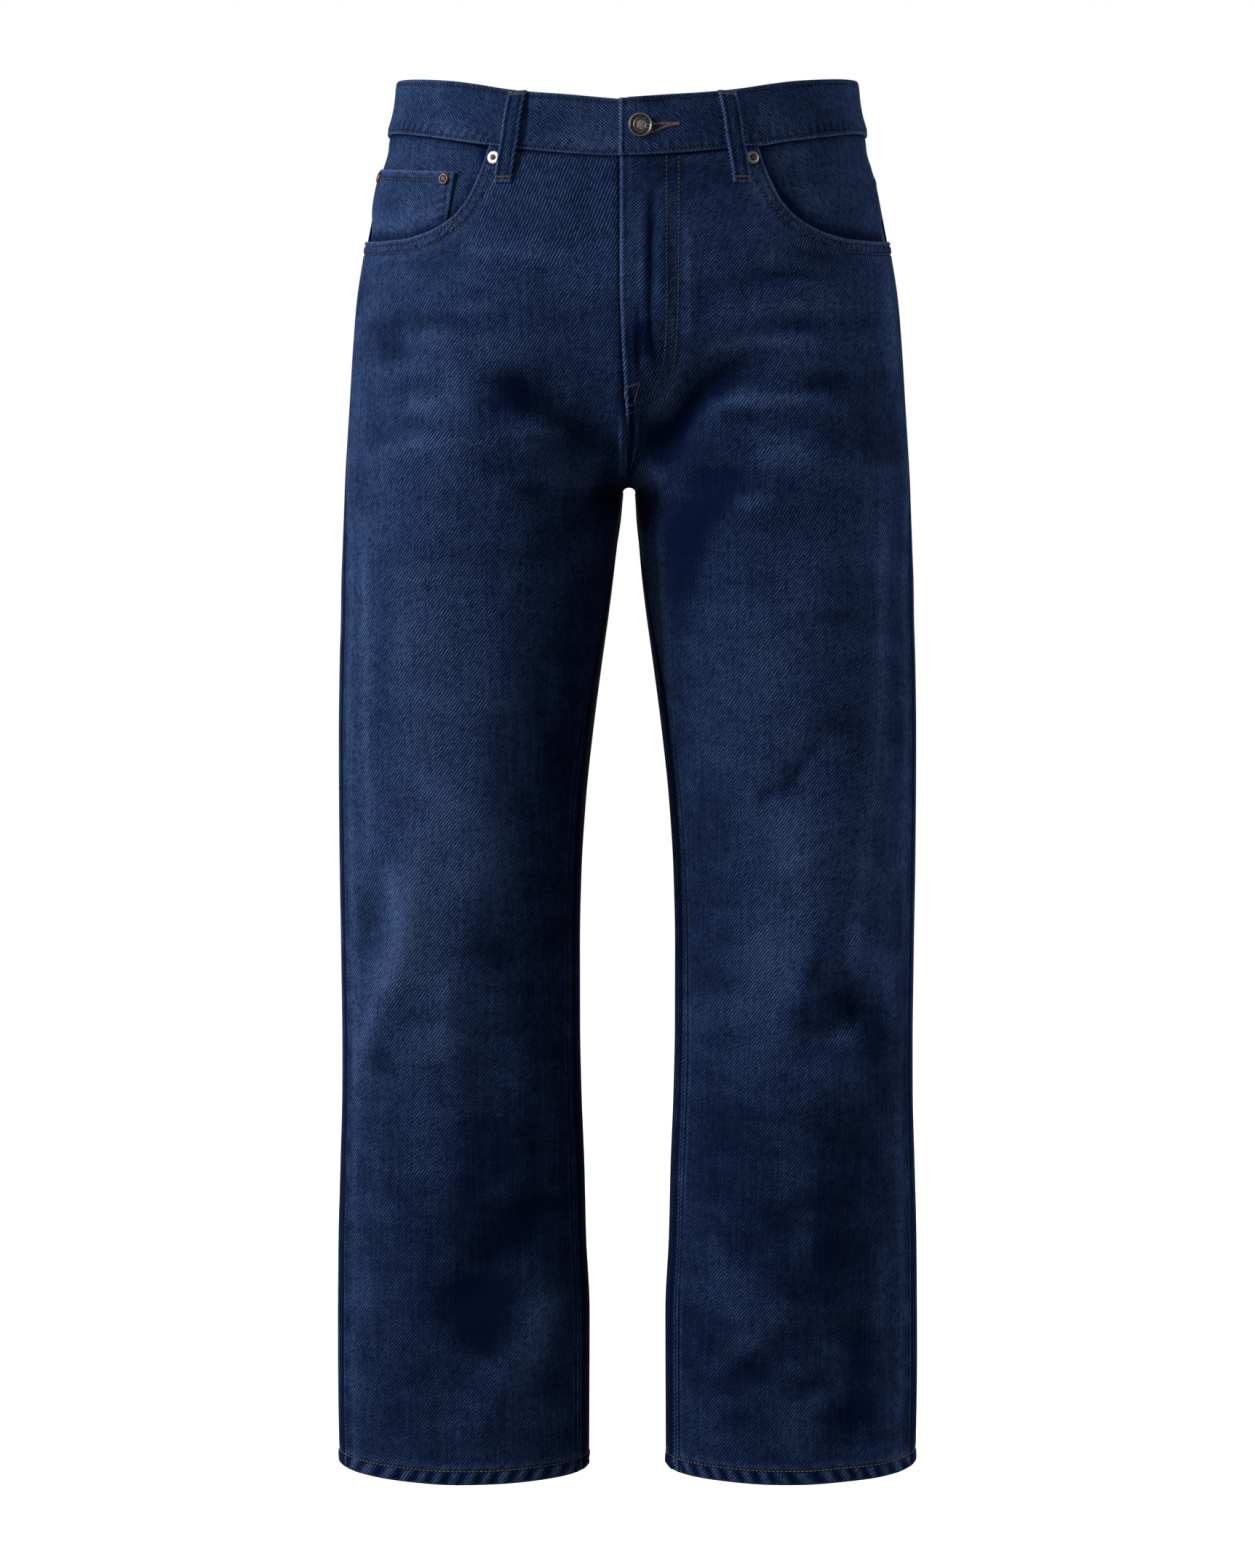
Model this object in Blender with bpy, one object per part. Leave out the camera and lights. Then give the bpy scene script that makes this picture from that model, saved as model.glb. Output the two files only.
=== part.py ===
"""Five-pocket jeans, filled out as when they are worn, with nobody inside.

Every cut piece is a thin wall on one worn form: rings round the hips that part
into rings round each leg. Tables are in millimetres. Z is measured from the
middle of the waistband at the sides, X runs to the wearer's left and the front
faces -Y. Meshes are made in metres.
"""
import math
from collections import namedtuple

import bmesh
import bpy
from mathutils import Vector

MM = 0.001

# Driving sizes (mm)
BAND_HEIGHT = 40.0          # waistband, top to bottom
CROTCH_Z = -276.4
HEM_Z = -1019.0
HEM_RISE = 2.4              # the hem's edge rises towards the side seam
HEM_DEPTH = 14.0
CLOTH = 1.6                 # wall of a panel
HEM_CLOTH = 2.6             # turned-up hem
BAND_CLOTH = 3.0
POCKET_CLOTH = 1.1          # facing and coin pocket
PATCH_CLOTH = 1.5           # back pocket
LOOP_CLOTH = 1.4
LOOP_WIDTH = 13.0
LOOP_ROWS = 12
LOOP_DROP = 0.5             # its top end below the waistband's top edge
SEAM_GAP = 0.3              # between neighbouring pieces
COIN_GAP = 0.7              # under the coin pocket, whose flats cross the facing's
FLY_SHIFT = 5.5             # the wearer's left edge of the fly lies this far past the middle
FLY_CLEAR = 15.0            # and is back in the middle this far above the crotch
FLY_EASE = 45.0
ROUNDNESS = 2.25            # exponent of the rings: 2 is an ellipse
HEM_ROUNDNESS = 2.0
FRONT_RISE = 105.0          # height over which the front seam turns under to the crotch
BACK_RISE = 130.0
CLOSE_UP = 150.0            # height over which the hips' points slide over to stand above a leg's
CROTCH_CURVE = 3.6          # height of the small arch between the legs
ARCH_REACH = 0.06           # how far round a leg the arch is felt, by place
SOFT_PLACE = 0.3            # place where the rise is half as sharp as at the centre seam
SIDE_PLACE = 0.4            # place from which the rise is as soft as at the side seam
FOLD_END = 0.35             # share of a fold's height left at its two ends
FOLD_FADE = 0.1             # folds fade out within this much of a seam, by place
BUTTON_WIDTH = 17.0
SHANK_WIDTH = 6.0
BUTTONHOLE = 6.6
RIVET_WIDTH = 9.0
COIN_RIVET_WIDTH = 7.0
LEFT, RIGHT = 1, -1         # the wearer's sides, as the sign of X

# Rings round the hips: half width, and depth to the front and to the back
Ring = namedtuple("Ring", "z half_width front back")
HIPS = (
    Ring(34, 167.6, 111, 111),
    Ring(17, 168.8, 112, 113),
    Ring(0, 170.8, 114, 115),
    Ring(-20, 175.4, 116, 118),
    Ring(-32, 176.8, 116.5, 120),
    Ring(-44, 180.4, 117, 123),
    Ring(-57, 184.2, 118, 126),
    Ring(-78, 188.5, 119, 131),
    Ring(-100, 192.9, 120, 136),
    Ring(-142, 199.7, 122, 144),
    Ring(-185, 203.4, 122, 146),
    Ring(-217, 205.8, 121, 143),
    Ring(-249, 208.2, 119, 137),
    Ring(-280, 209.6, 117, 130),
)

# Rings round one leg: inner and outer edge across, and front and back, as distances from the middle
LegRing = namedtuple("LegRing", "z inner outer front back")
LEG = (
    LegRing(-140, 2.6, 199.6, -118, 134),
    LegRing(-230, 3.4, 206.8, -116, 129),
    LegRing(-270, 4.1, 209.3, -114.5, 123),
    LegRing(-292, 5.4, 210.2, -113, 118),
    LegRing(-319, 8.1, 211.5, -111, 111),
    LegRing(-346, 10.9, 212.8, -108, 105),
    LegRing(-374, 14.4, 213.3, -105, 99),
    LegRing(-401, 18.2, 214.2, -102, 94),
    LegRing(-455, 25.3, 215.3, -96, 86),
    LegRing(-510, 31.1, 215.5, -90, 79),
    LegRing(-565, 34.5, 215.4, -83, 72),
    LegRing(-620, 35.7, 215.0, -77, 67),
    LegRing(-676, 35.7, 214.8, -71, 65),
    LegRing(-731, 34.7, 215.5, -67, 65),
    LegRing(-787, 32.6, 217.5, -63, 63),
    LegRing(-843, 31.3, 219.3, -60, 60),
    LegRing(-900, 28.7, 220.1, -58, 57),
    LegRing(-956, 28.9, 220.5, -57, 55),
    LegRing(-1019, 29.2, 219.7, -57, 54),
)

# How far the seams lie forward of the widest place, in degrees round a ring
Lean = namedtuple("Lean", "z side inseam")
SEAM_LEANS = (
    Lean(-175, 0, 0),
    Lean(-277, 12, 0),
    Lean(-350, 20, 12),
    Lean(-440, 20, 20),
    Lean(-1019, 20, 20),
)

# The middle depth of a leg, where it is widest
Middle = namedtuple("Middle", "z y")
LEG_MIDDLE = (Middle(-140, 0), Middle(-277, 6), Middle(-330, 3), Middle(-420, -2), Middle(-520, -5),
              Middle(-640, -4), Middle(-760, 0), Middle(-1019, -2))

# Top and bottom edges, by place: 0 at the centre seam, 1 at the side seam
Edge = namedtuple("Edge", "place z")
BAND_TOP_FRONT = (Edge(0.0, -6.2), Edge(0.12, -3.7), Edge(0.2, -2.1), Edge(0.27, -0.2), Edge(0.31, 1.2),
                  Edge(0.42, 6.2), Edge(0.51, 9.6), Edge(0.76, 15.6), Edge(1.0, 19.5))
BAND_TOP_BACK = (Edge(0.0, 21), Edge(0.2, 22), Edge(0.45, 24), Edge(0.68, 25), Edge(0.85, 23), Edge(1.0, 19.5))
WAIST_FRONT_Z = -46.3       # waist seam at the fly
WAIST_RISE = 26.0           # and its climb to the side seam
WAIST_BEND = 1.7
YOKE_BOTTOM = (Edge(0.0, -82), Edge(0.5, -70), Edge(1.0, -56))
SCOOP = (Edge(0.356, -38.4), Edge(0.361, -45.0), Edge(0.372, -57.0), Edge(0.385, -66.0), Edge(0.402, -75.0),
         Edge(0.43, -84.0), Edge(0.47, -91.2), Edge(0.53, -97.0), Edge(0.62, -100.3), Edge(0.73, -100.2),
         Edge(0.86, -98.4), Edge(1.0, -96.5))

# Where a panel's points stand across it and down it
FRONT_COLUMNS = (0, 0.09, 0.18, 0.27, 0.356, 0.372, 0.402, 0.43, 0.47, 0.53, 0.6, 0.68, 0.76, 0.84, 0.92, 1)
BACK_COLUMNS = (0, 0.09, 0.18, 0.26, 0.35, 0.44, 0.53, 0.62, 0.7, 0.78, 0.86, 0.93, 1)
HIP_ROWS = (-128, -143, -158, -172, -185, -197, -208, -219, -230, -240.5, -250.5, -259, -266, -271.2, -274.6)
ARCH_ROWS = (CROTCH_Z, -277.8, -280.4, -287, -299, -315)
LEG_ROW_STEP = 28.5
TOP_ROWS = 4
PANEL_TOP_ROW = -116.0
HEM_STEP = 1.5              # over which the wall thickens into the hem
YOKE_ROWS = 4
ALONG_STEPS = 80            # steps in which a distance along the cloth is walked

# Large folds: a line through three places on a face, its half width, and its height, sunk if negative
Fold = namedtuple("Fold", "x0 z0 x1 z1 x2 z2 spread height")
FRONT_FOLDS = (
    Fold(-102, -190, -58, -213, -16, -248, 9, -5.0),
    Fold(-100, -230, -72, -236, -42, -238, 8, 2.6),
    Fold(-104, -256, -62, -262, -20, -266, 9, -3.2),
    Fold(88, -188, 52, -204, 25, -248, 10, -6.0),
    Fold(52, -226, 95, -220, 145, -217, 8, 2.8),
    Fold(96, -256, 62, -270, 30, -290, 10, -4.6),
    Fold(66, -294, 90, -295, 118, -291, 8, 2.4),
    Fold(-46, -400, -58, -500, -84, -610, 24, -4.5),
    Fold(-112, -430, -104, -540, -132, -616, 20, 3.6),
    Fold(-152, -540, -166, -612, -192, -700, 11, 4.6),
    Fold(-182, -560, -188, -610, -196, -650, 9, -3.0),
    Fold(-96, -640, -106, -720, -98, -800, 16, -3.6),
    Fold(-150, -650, -142, -676, -138, -700, 17, 3.4),
    Fold(-56, -796, -96, -846, -140, -896, 14, -4.0),
    Fold(-56, -872, -92, -936, -116, -984, 12, 3.8),
    Fold(152, -448, 134, -476, 112, -506, 10, -3.2),
    Fold(116, -500, 132, -560, 140, -604, 18, 3.2),
    Fold(142, -600, 130, -640, 116, -686, 9, 3.6),
    Fold(152, -640, 158, -656, 170, -664, 13, -5.0),
    Fold(166, -604, 190, -652, 200, -716, 10, 4.2),
    Fold(158, -694, 148, -706, 140, -722, 15, 3.4),
    Fold(60, -640, 72, -720, 84, -800, 22, -2.8),
    Fold(38, -826, 66, -866, 92, -900, 14, 2.8),
    Fold(132, -894, 106, -922, 74, -950, 12, -3.4),
    Fold(168, -890, 162, -950, 158, -1004, 13, -3.6),
    Fold(190, -900, 186, -960, 188, -1006, 9, 3.2),
)
BACK_FOLDS = (
    Fold(-34, -296, -78, -318, -140, -322, 10, -4.8),
    Fold(-40, -330, -84, -352, -132, -356, 11, -3.4),
    Fold(38, -292, 86, -320, 146, -318, 10, -5.2),
    Fold(46, -338, 92, -356, 128, -352, 12, -3.2),
    Fold(-60, -460, -104, -520, -120, -600, 22, 3.4),
    Fold(62, -440, 96, -510, 126, -590, 20, 3.8),
    Fold(-64, -612, -112, -640, -168, -630, 11, -5.0),
    Fold(-172, -688, -124, -672, -76, -692, 12, -4.4),
    Fold(70, -624, 122, -646, 178, -622, 12, -4.6),
    Fold(166, -700, 120, -680, 72, -704, 11, -4.8),
    Fold(-88, -730, -122, -800, -150, -880, 15, 3.4),
    Fold(84, -744, 128, -816, 142, -892, 16, 3.2),
    Fold(-64, -900, -104, -930, -146, -970, 12, -3.6),
    Fold(66, -960, 110, -926, 160, -900, 12, -3.8),
)

# Belt loops: place across at the top and at the bottom, height of the lower end, and the face they lie on
Loop = namedtuple("Loop", "name side face top bottom low_z")
LOOPS = (
    Loop("belt_loop_front_left", LEFT, "front", 0.2815, 0.2995, -61.5),
    Loop("belt_loop_front_right", RIGHT, "front", 0.2815, 0.2995, -61.5),
    Loop("belt_loop_back_left", LEFT, "back", 0.60, 0.60, -37.0),
    Loop("belt_loop_back_right", RIGHT, "back", 0.60, 0.60, -37.0),
    Loop("belt_loop_centre_back", LEFT, "back", 0.0, 0.0, -39.0),
)
# A loop's lift off the form, by share of its length from the top
LOOP_LIFT = ((0.0, 1.35), (0.1, 2.2), (0.3, 3.3), (0.5, 3.5), (0.7, 2.9), (0.86, 1.6), (1.0, 0.35))

# Pieces on the pocket facing
FACING_DEEP = -3.9          # outer face of the facing under the front panel
FACING_HIGH = -0.9          # and where it meets the waist
FACING_START = 0.31
FACING_SECOND = 0.345       # place of the column next to the start
FACING_UNDERLAP = 12.0
FACING_CORNER = 0.43        # the lower edge is level from here towards the fly
FACING_ROWS = 5
FACING_LEVEL = 2.0          # this far inside the pocket's edge the facing starts to rise
FACING_EASE = 26.0
FRONT_WIDTH = 290.0         # about the width of a front along the cloth
COIN_TOP = (Edge(0.45, -55.0), Edge(0.7, -50.0), Edge(0.94, -45.0))
COIN_SIDES_TOP = (0.451, 0.940)
COIN_SIDES_BOTTOM = (0.468, 0.885)
COIN_UNDERLAP = 8.0
COIN_ROWS, COIN_COLUMNS = 5, 8

# Back pocket: distances from the centre back seam along the cloth
PATCH_INNER = (36.0, 45.0)  # at the top and at the lower corner
PATCH_OUTER = (188.0, 178.0)
PATCH_TOP_Z = -104.0
PATCH_CORNER_Z = -236.0
PATCH_TIP_Z = -262.0

# Waistband: places across the front in mm, and offsets of its outer face from the form
BAND_START_X = -6.0         # the overlap's free end
BAND_BEND_X = 24.0          # where the even steps round the waist begin
BAND_UNDER_X = 21.0         # the underlap's free end, under the overlap
BAND_PASS_X = 4.0           # last column before it
BAND_STEPS = 50
BAND_PROUD = 1.0
OVERLAP_RAISE = 0.6
UNDERLAP_SINK = 2.75
OVERLAP_TURNS = (0.03, 0.10)            # the raise fades between these turns
UNDERLAP_TURNS = (1.90, 1.975)          # and the underlap dives between these
BUTTON_REACH = 6.0          # half size of the cell that holds the buttonhole

BUTTON_PLACE = (8.8, -25.2)             # across and up
BUTTON_FACING = (0.02, -1.0, 0.0)
# Rings of the button and a rivet: radius, and height off the wall
BUTTON_PROFILE = ((0.0, -1.4), (SHANK_WIDTH / 2, -1.4), (SHANK_WIDTH / 2, 1.9), (BUTTON_WIDTH / 2 - 1.2, 1.9),
                  (BUTTON_WIDTH / 2, 2.8), (BUTTON_WIDTH / 2, 3.6), (BUTTON_WIDTH / 2 - 0.9, 4.4),
                  (BUTTON_WIDTH / 2 - 2.6, 4.0), (BUTTON_WIDTH / 2 - 3.0, 3.6), (0.0, 4.1))
BUTTON_SIDES = 28
RIVET_PROFILE = ((0.0, 0.0), (0.0, 0.7), (-0.9, 1.4), (-2.0, 0.9))      # radius past the rim, height
RIVET_DOME = 1.3
RIVET_SIDES = 16
POCKET_RIVET = (0.335, -46.2)           # place across the front, and height
COIN_RIVETS = {"coin_rivet_inner": (0.484, -59.9), "coin_rivet_outer": (0.879, -52.0)}

Finish = namedtuple("Finish", "colour roughness metallic")
DENIM = Finish((0.022, 0.040, 0.100), 0.9, 0.0)
POCKET_DENIM = Finish((0.026, 0.046, 0.105), 0.9, 0.0)
DARK_METAL = Finish((0.16, 0.14, 0.13), 0.35, 1.0)
BRIGHT_METAL = Finish((0.55, 0.54, 0.53), 0.3, 1.0)
COPPER = Finish((0.38, 0.22, 0.15), 0.35, 1.0)


def clamp(value, low=0.0, high=1.0):
    """Keep a value between two limits."""
    return max(low, min(high, value))


def ease(share):
    """A soft step from 0 to 1."""
    share = clamp(share)
    return share * share * (3.0 - 2.0 * share)


def curve(rows, key, column, at):
    """Read a table column smoothly between its rows, with no overshoot."""
    ordered = sorted(rows, key=lambda row: getattr(row, key))
    xs = [getattr(row, key) for row in ordered]
    ys = [getattr(row, column) for row in ordered]
    if at <= xs[0]:
        return ys[0]
    if at >= xs[-1]:
        return ys[-1]
    slopes = [(ys[k + 1] - ys[k]) / (xs[k + 1] - xs[k]) for k in range(len(xs) - 1)]
    k = max(i for i in range(len(slopes)) if xs[i] <= at)

    def tangent(i):
        """The slope at one row, level where the column turns back."""
        if i == 0 or i == len(slopes):
            return slopes[min(i, len(slopes) - 1)]
        before, after = slopes[i - 1], slopes[i]
        if before * after <= 0.0:
            return 0.0
        return 2.0 * before * after / (before + after)

    span = xs[k + 1] - xs[k]
    t = (at - xs[k]) / span
    start, end = tangent(k) * span, tangent(k + 1) * span
    rise = ys[k + 1] - ys[k]
    return ys[k] + t * (start + t * (3 * rise - 2 * start - end + t * (start + end - 2 * rise)))


def line(pairs, at):
    """Read a list of (place, value) pairs in straight steps."""
    for (x0, y0), (x1, y1) in zip(pairs, pairs[1:]):
        if at <= x1:
            return y0 + (y1 - y0) * clamp((at - x0) / (x1 - x0))
    return pairs[-1][1]


# The worn form

def rounded(angle, half_width, front, back, power=ROUNDNESS):
    """A place on a ring, from its angle: 0 in front, 90 at the side, 180 behind."""
    across = math.sin(math.radians(angle))
    reach = max(0.0, 1.0 - abs(across) ** power) ** (1.0 / power)
    ahead = math.cos(math.radians(angle)) > 0.0
    return half_width * across, -front * reach if ahead else back * reach


def fly_shift(z):
    """How far the fly's edge lies past the middle at a height."""
    return FLY_SHIFT * ease((z - CROTCH_Z - FLY_CLEAR) / FLY_EASE)


def centre_angle(face, side, z):
    """The angle of the seam down the middle, seen from one side of the body."""
    if face == "back":
        return 180.0
    return -side * math.degrees(math.asin(fly_shift(z) / curve(HIPS, "z", "half_width", z)))


def leg_angle(face, place, z):
    """The angle round a leg: -90 at its inner edge, 90 at its outer edge, front in between."""
    inseam = -90.0 + curve(SEAM_LEANS, "z", "inseam", z)
    side_seam = 90.0 - curve(SEAM_LEANS, "z", "side", z)
    turn = side_seam - inseam if face == "front" else side_seam - inseam - 360.0
    return inseam + turn * place


def hip_place(face, side, place, z):
    """A place on the ring round the hips; near the crotch its points close up to the leg's."""
    side_seam = 90.0 - curve(SEAM_LEANS, "z", "side", z)
    centre = centre_angle(face, side, z)
    spread = centre + (side_seam - centre) * place
    round_leg = leg_angle(face, place, z)
    above_leg = math.degrees(math.asin(0.5 + 0.5 * math.sin(math.radians(round_leg))))
    if face == "back" and math.cos(math.radians(round_leg)) < 1e-9:
        above_leg = 180.0 - above_leg
    close_up = ease((CROTCH_Z + CLOSE_UP - z) / CLOSE_UP)
    angle = spread + (above_leg - spread) * close_up
    return rounded(angle, curve(HIPS, "z", "half_width", z), curve(HIPS, "z", "front", z),
                   curve(HIPS, "z", "back", z))


def arch(z):
    """The half gap between the inseams where it rounds off at the crotch."""
    below = clamp((CROTCH_Z - z) / CROTCH_CURVE)
    wide = curve(LEG, "z", "inner", z) - SEAM_GAP / 2
    return SEAM_GAP / 2 + wide * math.sqrt(1.0 - (1.0 - below) ** 2)


def leg_place(face, place, z):
    """A place on the ring round a leg, counted from its inseam."""
    inner, outer = curve(LEG, "z", "inner", z), curve(LEG, "z", "outer", z)
    middle = curve(LEG_MIDDLE, "z", "y", z)
    front, back = middle - curve(LEG, "z", "front", z), curve(LEG, "z", "back", z) - middle
    power = ROUNDNESS + (HEM_ROUNDNESS - ROUNDNESS) * ease((CROTCH_Z - z) / (CROTCH_Z - HEM_Z))
    x, y = rounded(leg_angle(face, place, z), (outer - inner) / 2, front, back, power)
    if z > CROTCH_Z - CROTCH_CURVE:
        x -= (inner - arch(z)) * math.exp(-(place / ARCH_REACH) ** 2)
    return (inner + outer) / 2 + x, middle + y


def parting(face, place, z):
    """How far the hips have parted into a leg: 0 above the rise, 1 below the crotch.

    The centre seam turns under in a quarter round, and the cloth beside it ever more softly.
    """
    rise = FRONT_RISE if face == "front" else BACK_RISE
    down = clamp((CROTCH_Z + rise - z) / rise)
    softness = (place / SOFT_PLACE) ** 2
    full = math.sqrt(1.0 + softness ** 2) - softness
    at_centre = 1.0 - (math.sqrt(1.0 - down * down + softness ** 2) - softness) / full
    at_side = ease((CROTCH_Z + BACK_RISE - z) / BACK_RISE)
    return at_centre + (at_side - at_centre) * ease(place / SIDE_PLACE)


def fold_height(face, x, z):
    """The height of all the folds at a place."""
    total = 0.0
    for fold in FRONT_FOLDS if face == "front" else BACK_FOLDS:
        corners = ((fold.x0, fold.z0), (fold.x1, fold.z1), (fold.x2, fold.z2))
        nearest, travelled = None, 0.0
        length = math.dist(corners[0], corners[1]) + math.dist(corners[1], corners[2])
        for (ax, az), (bx, bz) in zip(corners, corners[1:]):
            step = math.dist((ax, az), (bx, bz))
            share = clamp(((x - ax) * (bx - ax) + (z - az) * (bz - az)) / step ** 2)
            gap = math.dist((x, z), (ax + (bx - ax) * share, az + (bz - az) * share))
            if nearest is None or gap < nearest[0]:
                nearest = gap, clamp((travelled + share * step) / length)
            travelled += step
        gap, along = nearest
        taper = FOLD_END + (1.0 - FOLD_END) * math.sin(math.pi * along) ** 0.5
        total += fold.height * taper * math.exp(-0.5 * (gap / fold.spread) ** 2)
    return total


def form(face, side, place, z):
    """A place on the garment's outer face, in millimetres, with its folds."""
    leg_share = parting(face, place, z)
    hip_x, hip_y = hip_place(face, side, place, z) if leg_share < 1.0 else (0.0, 0.0)
    leg_x, leg_y = leg_place(face, place, z) if leg_share > 0.0 else (0.0, 0.0)
    x = hip_x + (leg_x - hip_x) * leg_share
    y = hip_y + (leg_y - hip_y) * leg_share
    folds = fold_height(face, side * x, z) * ease(place / FOLD_FADE) * ease((1.0 - place) / FOLD_FADE)
    away = -1.0 if face == "front" else 1.0
    return Vector((side * x, y + away * folds, z))


def place_along(face, side, z, distance):
    """The place that lies a distance along the cloth from the centre seam."""
    before, travelled = form(face, side, 0.0, z), 0.0
    for k in range(1, ALONG_STEPS + 1):
        here = form(face, side, k / ALONG_STEPS, z)
        step = (here - before).length
        if travelled + step >= distance:
            return (k - 1 + (distance - travelled) / step) / ALONG_STEPS
        before, travelled = here, travelled + step
    return 1.0


def waist_seam(face, place):
    """Height of the seam under the waistband."""
    if face == "front":
        return WAIST_FRONT_Z + WAIST_RISE * math.sin(math.radians(90 * clamp(place))) ** WAIST_BEND
    return band_top(face, place) - BAND_HEIGHT + SEAM_GAP


def band_top(face, place):
    """Height of the waistband's top edge."""
    return curve(BAND_TOP_FRONT if face == "front" else BAND_TOP_BACK, "place", "z", place)


# Building walls

def finish_material(name, finish):
    """A plain material in one of the finishes."""
    material = bpy.data.materials.get(name) or bpy.data.materials.new(name)
    material.use_nodes = True
    shader = material.node_tree.nodes["Principled BSDF"]
    shader.inputs["Base Color"].default_value = (*finish.colour, 1.0)
    shader.inputs["Roughness"].default_value = finish.roughness
    shader.inputs["Metallic"].default_value = finish.metallic
    return material


def add_object(name, mesh_builder, finish, sharp_degrees=35.0):
    """Close a bmesh in millimetres into a named object in metres."""
    bmesh.ops.recalc_face_normals(mesh_builder, faces=mesh_builder.faces)
    if mesh_builder.calc_volume(signed=True) < 0.0:
        bmesh.ops.reverse_faces(mesh_builder, faces=mesh_builder.faces)
    for vert in mesh_builder.verts:
        vert.co *= MM
    mesh = bpy.data.meshes.new(name)
    mesh_builder.to_mesh(mesh)
    mesh_builder.free()
    mesh.shade_smooth()
    mesh.set_sharp_from_angle(angle=math.radians(sharp_degrees))
    mesh.materials.append(finish_material(f"{name}_finish", finish))
    item = bpy.data.objects.new(name, mesh)
    bpy.context.scene.collection.objects.link(item)
    return item


def outward(grid, tangents):
    """Unit normals of a grid of places, from the cloth's run across it, pointing away from the wearer."""
    rows = len(grid)
    normals = []
    for i, row in enumerate(grid):
        above, below = grid[max(i - 1, 0)], grid[min(i + 1, rows - 1)]
        normals.append([(below[j] - above[j]).cross(tangents[i][j]).normalized() for j in range(len(row))])
    i, j = rows // 2, len(grid[0]) // 2
    middle = grid[i][j]
    guess = Vector((middle.x * 0.3 if middle.z > CROTCH_Z else 0.0, middle.y, 0.0))
    if normals[i][j].dot(guess) < 0.0:
        normals = [[-normal for normal in row] for row in normals]
    return normals


def lay_out(face, side, spots):
    """Places on the form for rows of (place, height) spots, and the cloth's run across at each."""
    def run_across(place, z):
        """The step across the cloth; one-sided at the centre seam, where two panels meet at an angle."""
        if place == 0.0 and z > CROTCH_Z:
            return form(face, side, 0.05, z) - form(face, side, 0.0, z)
        return form(face, side, place + 0.005, z) - form(face, side, place - 0.005, z)

    grid = [[form(face, side, place, z) for place, z in row] for row in spots]
    tangents = [[run_across(place, z) for place, z in row] for row in spots]
    return grid, tangents


def draw_in(grid):
    """Pull a grid's edges in by half a seam gap, so neighbours stand apart."""
    def toward(edge, inner):
        """An edge's place moved towards its inner neighbour."""
        return edge + (inner - edge).normalized() * (SEAM_GAP / 2)

    grid[0] = [toward(a, b) for a, b in zip(grid[0], grid[1])]
    grid[-1] = [toward(a, b) for a, b in zip(grid[-1], grid[-2])]
    for row in grid:
        row[0] = toward(row[0], row[1])
        row[-1] = toward(row[-1], row[-2])


def wall(grid, tangents, outer, inner, hole=None):
    """A closed wall over a grid. outer and inner are its faces' offsets, by row and column.

    hole is (row, column, centre, width): that cell gets a round hole.
    """
    normals = outward(grid, tangents)
    rows, columns = len(grid), len(grid[0])
    builder = bmesh.new()
    faces = []
    for offset in (outer, inner):
        faces.append([[builder.verts.new(grid[i][j] + normals[i][j] * offset(i, j)) for j in range(columns)]
                      for i in range(rows)])
    top, under = faces
    for i in range(rows - 1):
        for j in range(columns - 1):
            if hole and (i, j) == hole[:2]:
                continue
            for side in faces:
                for corners in halves(side, i, j):
                    builder.faces.new(corners)
    rim = ([(0, j) for j in range(columns)] + [(i, columns - 1) for i in range(1, rows)]
           + [(rows - 1, j) for j in range(columns - 2, -1, -1)] + [(i, 0) for i in range(rows - 2, 0, -1)])
    for (i, j), (k, m) in zip(rim, rim[1:] + rim[:1]):
        builder.faces.new((top[i][j], top[k][m], under[k][m], under[i][j]))
    if hole:
        pierce(builder, top, under, hole)
    return builder


def halves(points, i, j):
    """The two triangles of a grid's cell, always split the same way."""
    a, b, c, d = points[i][j], points[i][j + 1], points[i + 1][j + 1], points[i + 1][j]
    return (a, b, c), (a, c, d)


def patch(grid, normals, outline, lift, thickness):
    """A wall cut from a grid's own flats along an outline of places, moved out."""
    sheet = bmesh.new()
    layer = sheet.verts.layers.float_vector.new("outward")
    verts = [[sheet.verts.new(spot) for spot in row] for row in grid]
    for vert_row, normal_row in zip(verts, normals):
        for vert, normal in zip(vert_row, normal_row):
            vert[layer] = normal
    for i in range(len(grid) - 1):
        for j in range(len(grid[0]) - 1):
            for corners in halves(verts, i, j):
                sheet.faces.new(corners)
    centre = sum(outline, Vector()) / len(outline)
    facing = min(((spot - centre).length, normal) for row, turns in zip(grid, normals)
                 for spot, normal in zip(row, turns))[1]
    for start, end in zip(outline, outline[1:] + outline[:1]):
        away = (end - start).cross(facing).normalized()
        if away.dot(centre - start) > 0.0:
            away = -away
        bmesh.ops.bisect_plane(sheet, geom=sheet.verts[:] + sheet.edges[:] + sheet.faces[:],
                               plane_co=start, plane_no=away, clear_outer=True)
    builder = bmesh.new()
    outer, inner = {}, {}
    for vert in sheet.verts:
        normal = vert[layer].normalized()
        outer[vert] = builder.verts.new(vert.co + normal * (lift + thickness))
        inner[vert] = builder.verts.new(vert.co + normal * lift)
    for face in sheet.faces:
        builder.faces.new([outer[vert] for vert in face.verts])
        builder.faces.new([inner[vert] for vert in reversed(face.verts)])
    for edge in sheet.edges:
        if edge.is_boundary:
            a, b = edge.verts
            builder.faces.new((outer[a], outer[b], inner[b], inner[a]))
    sheet.free()
    return builder


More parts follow.
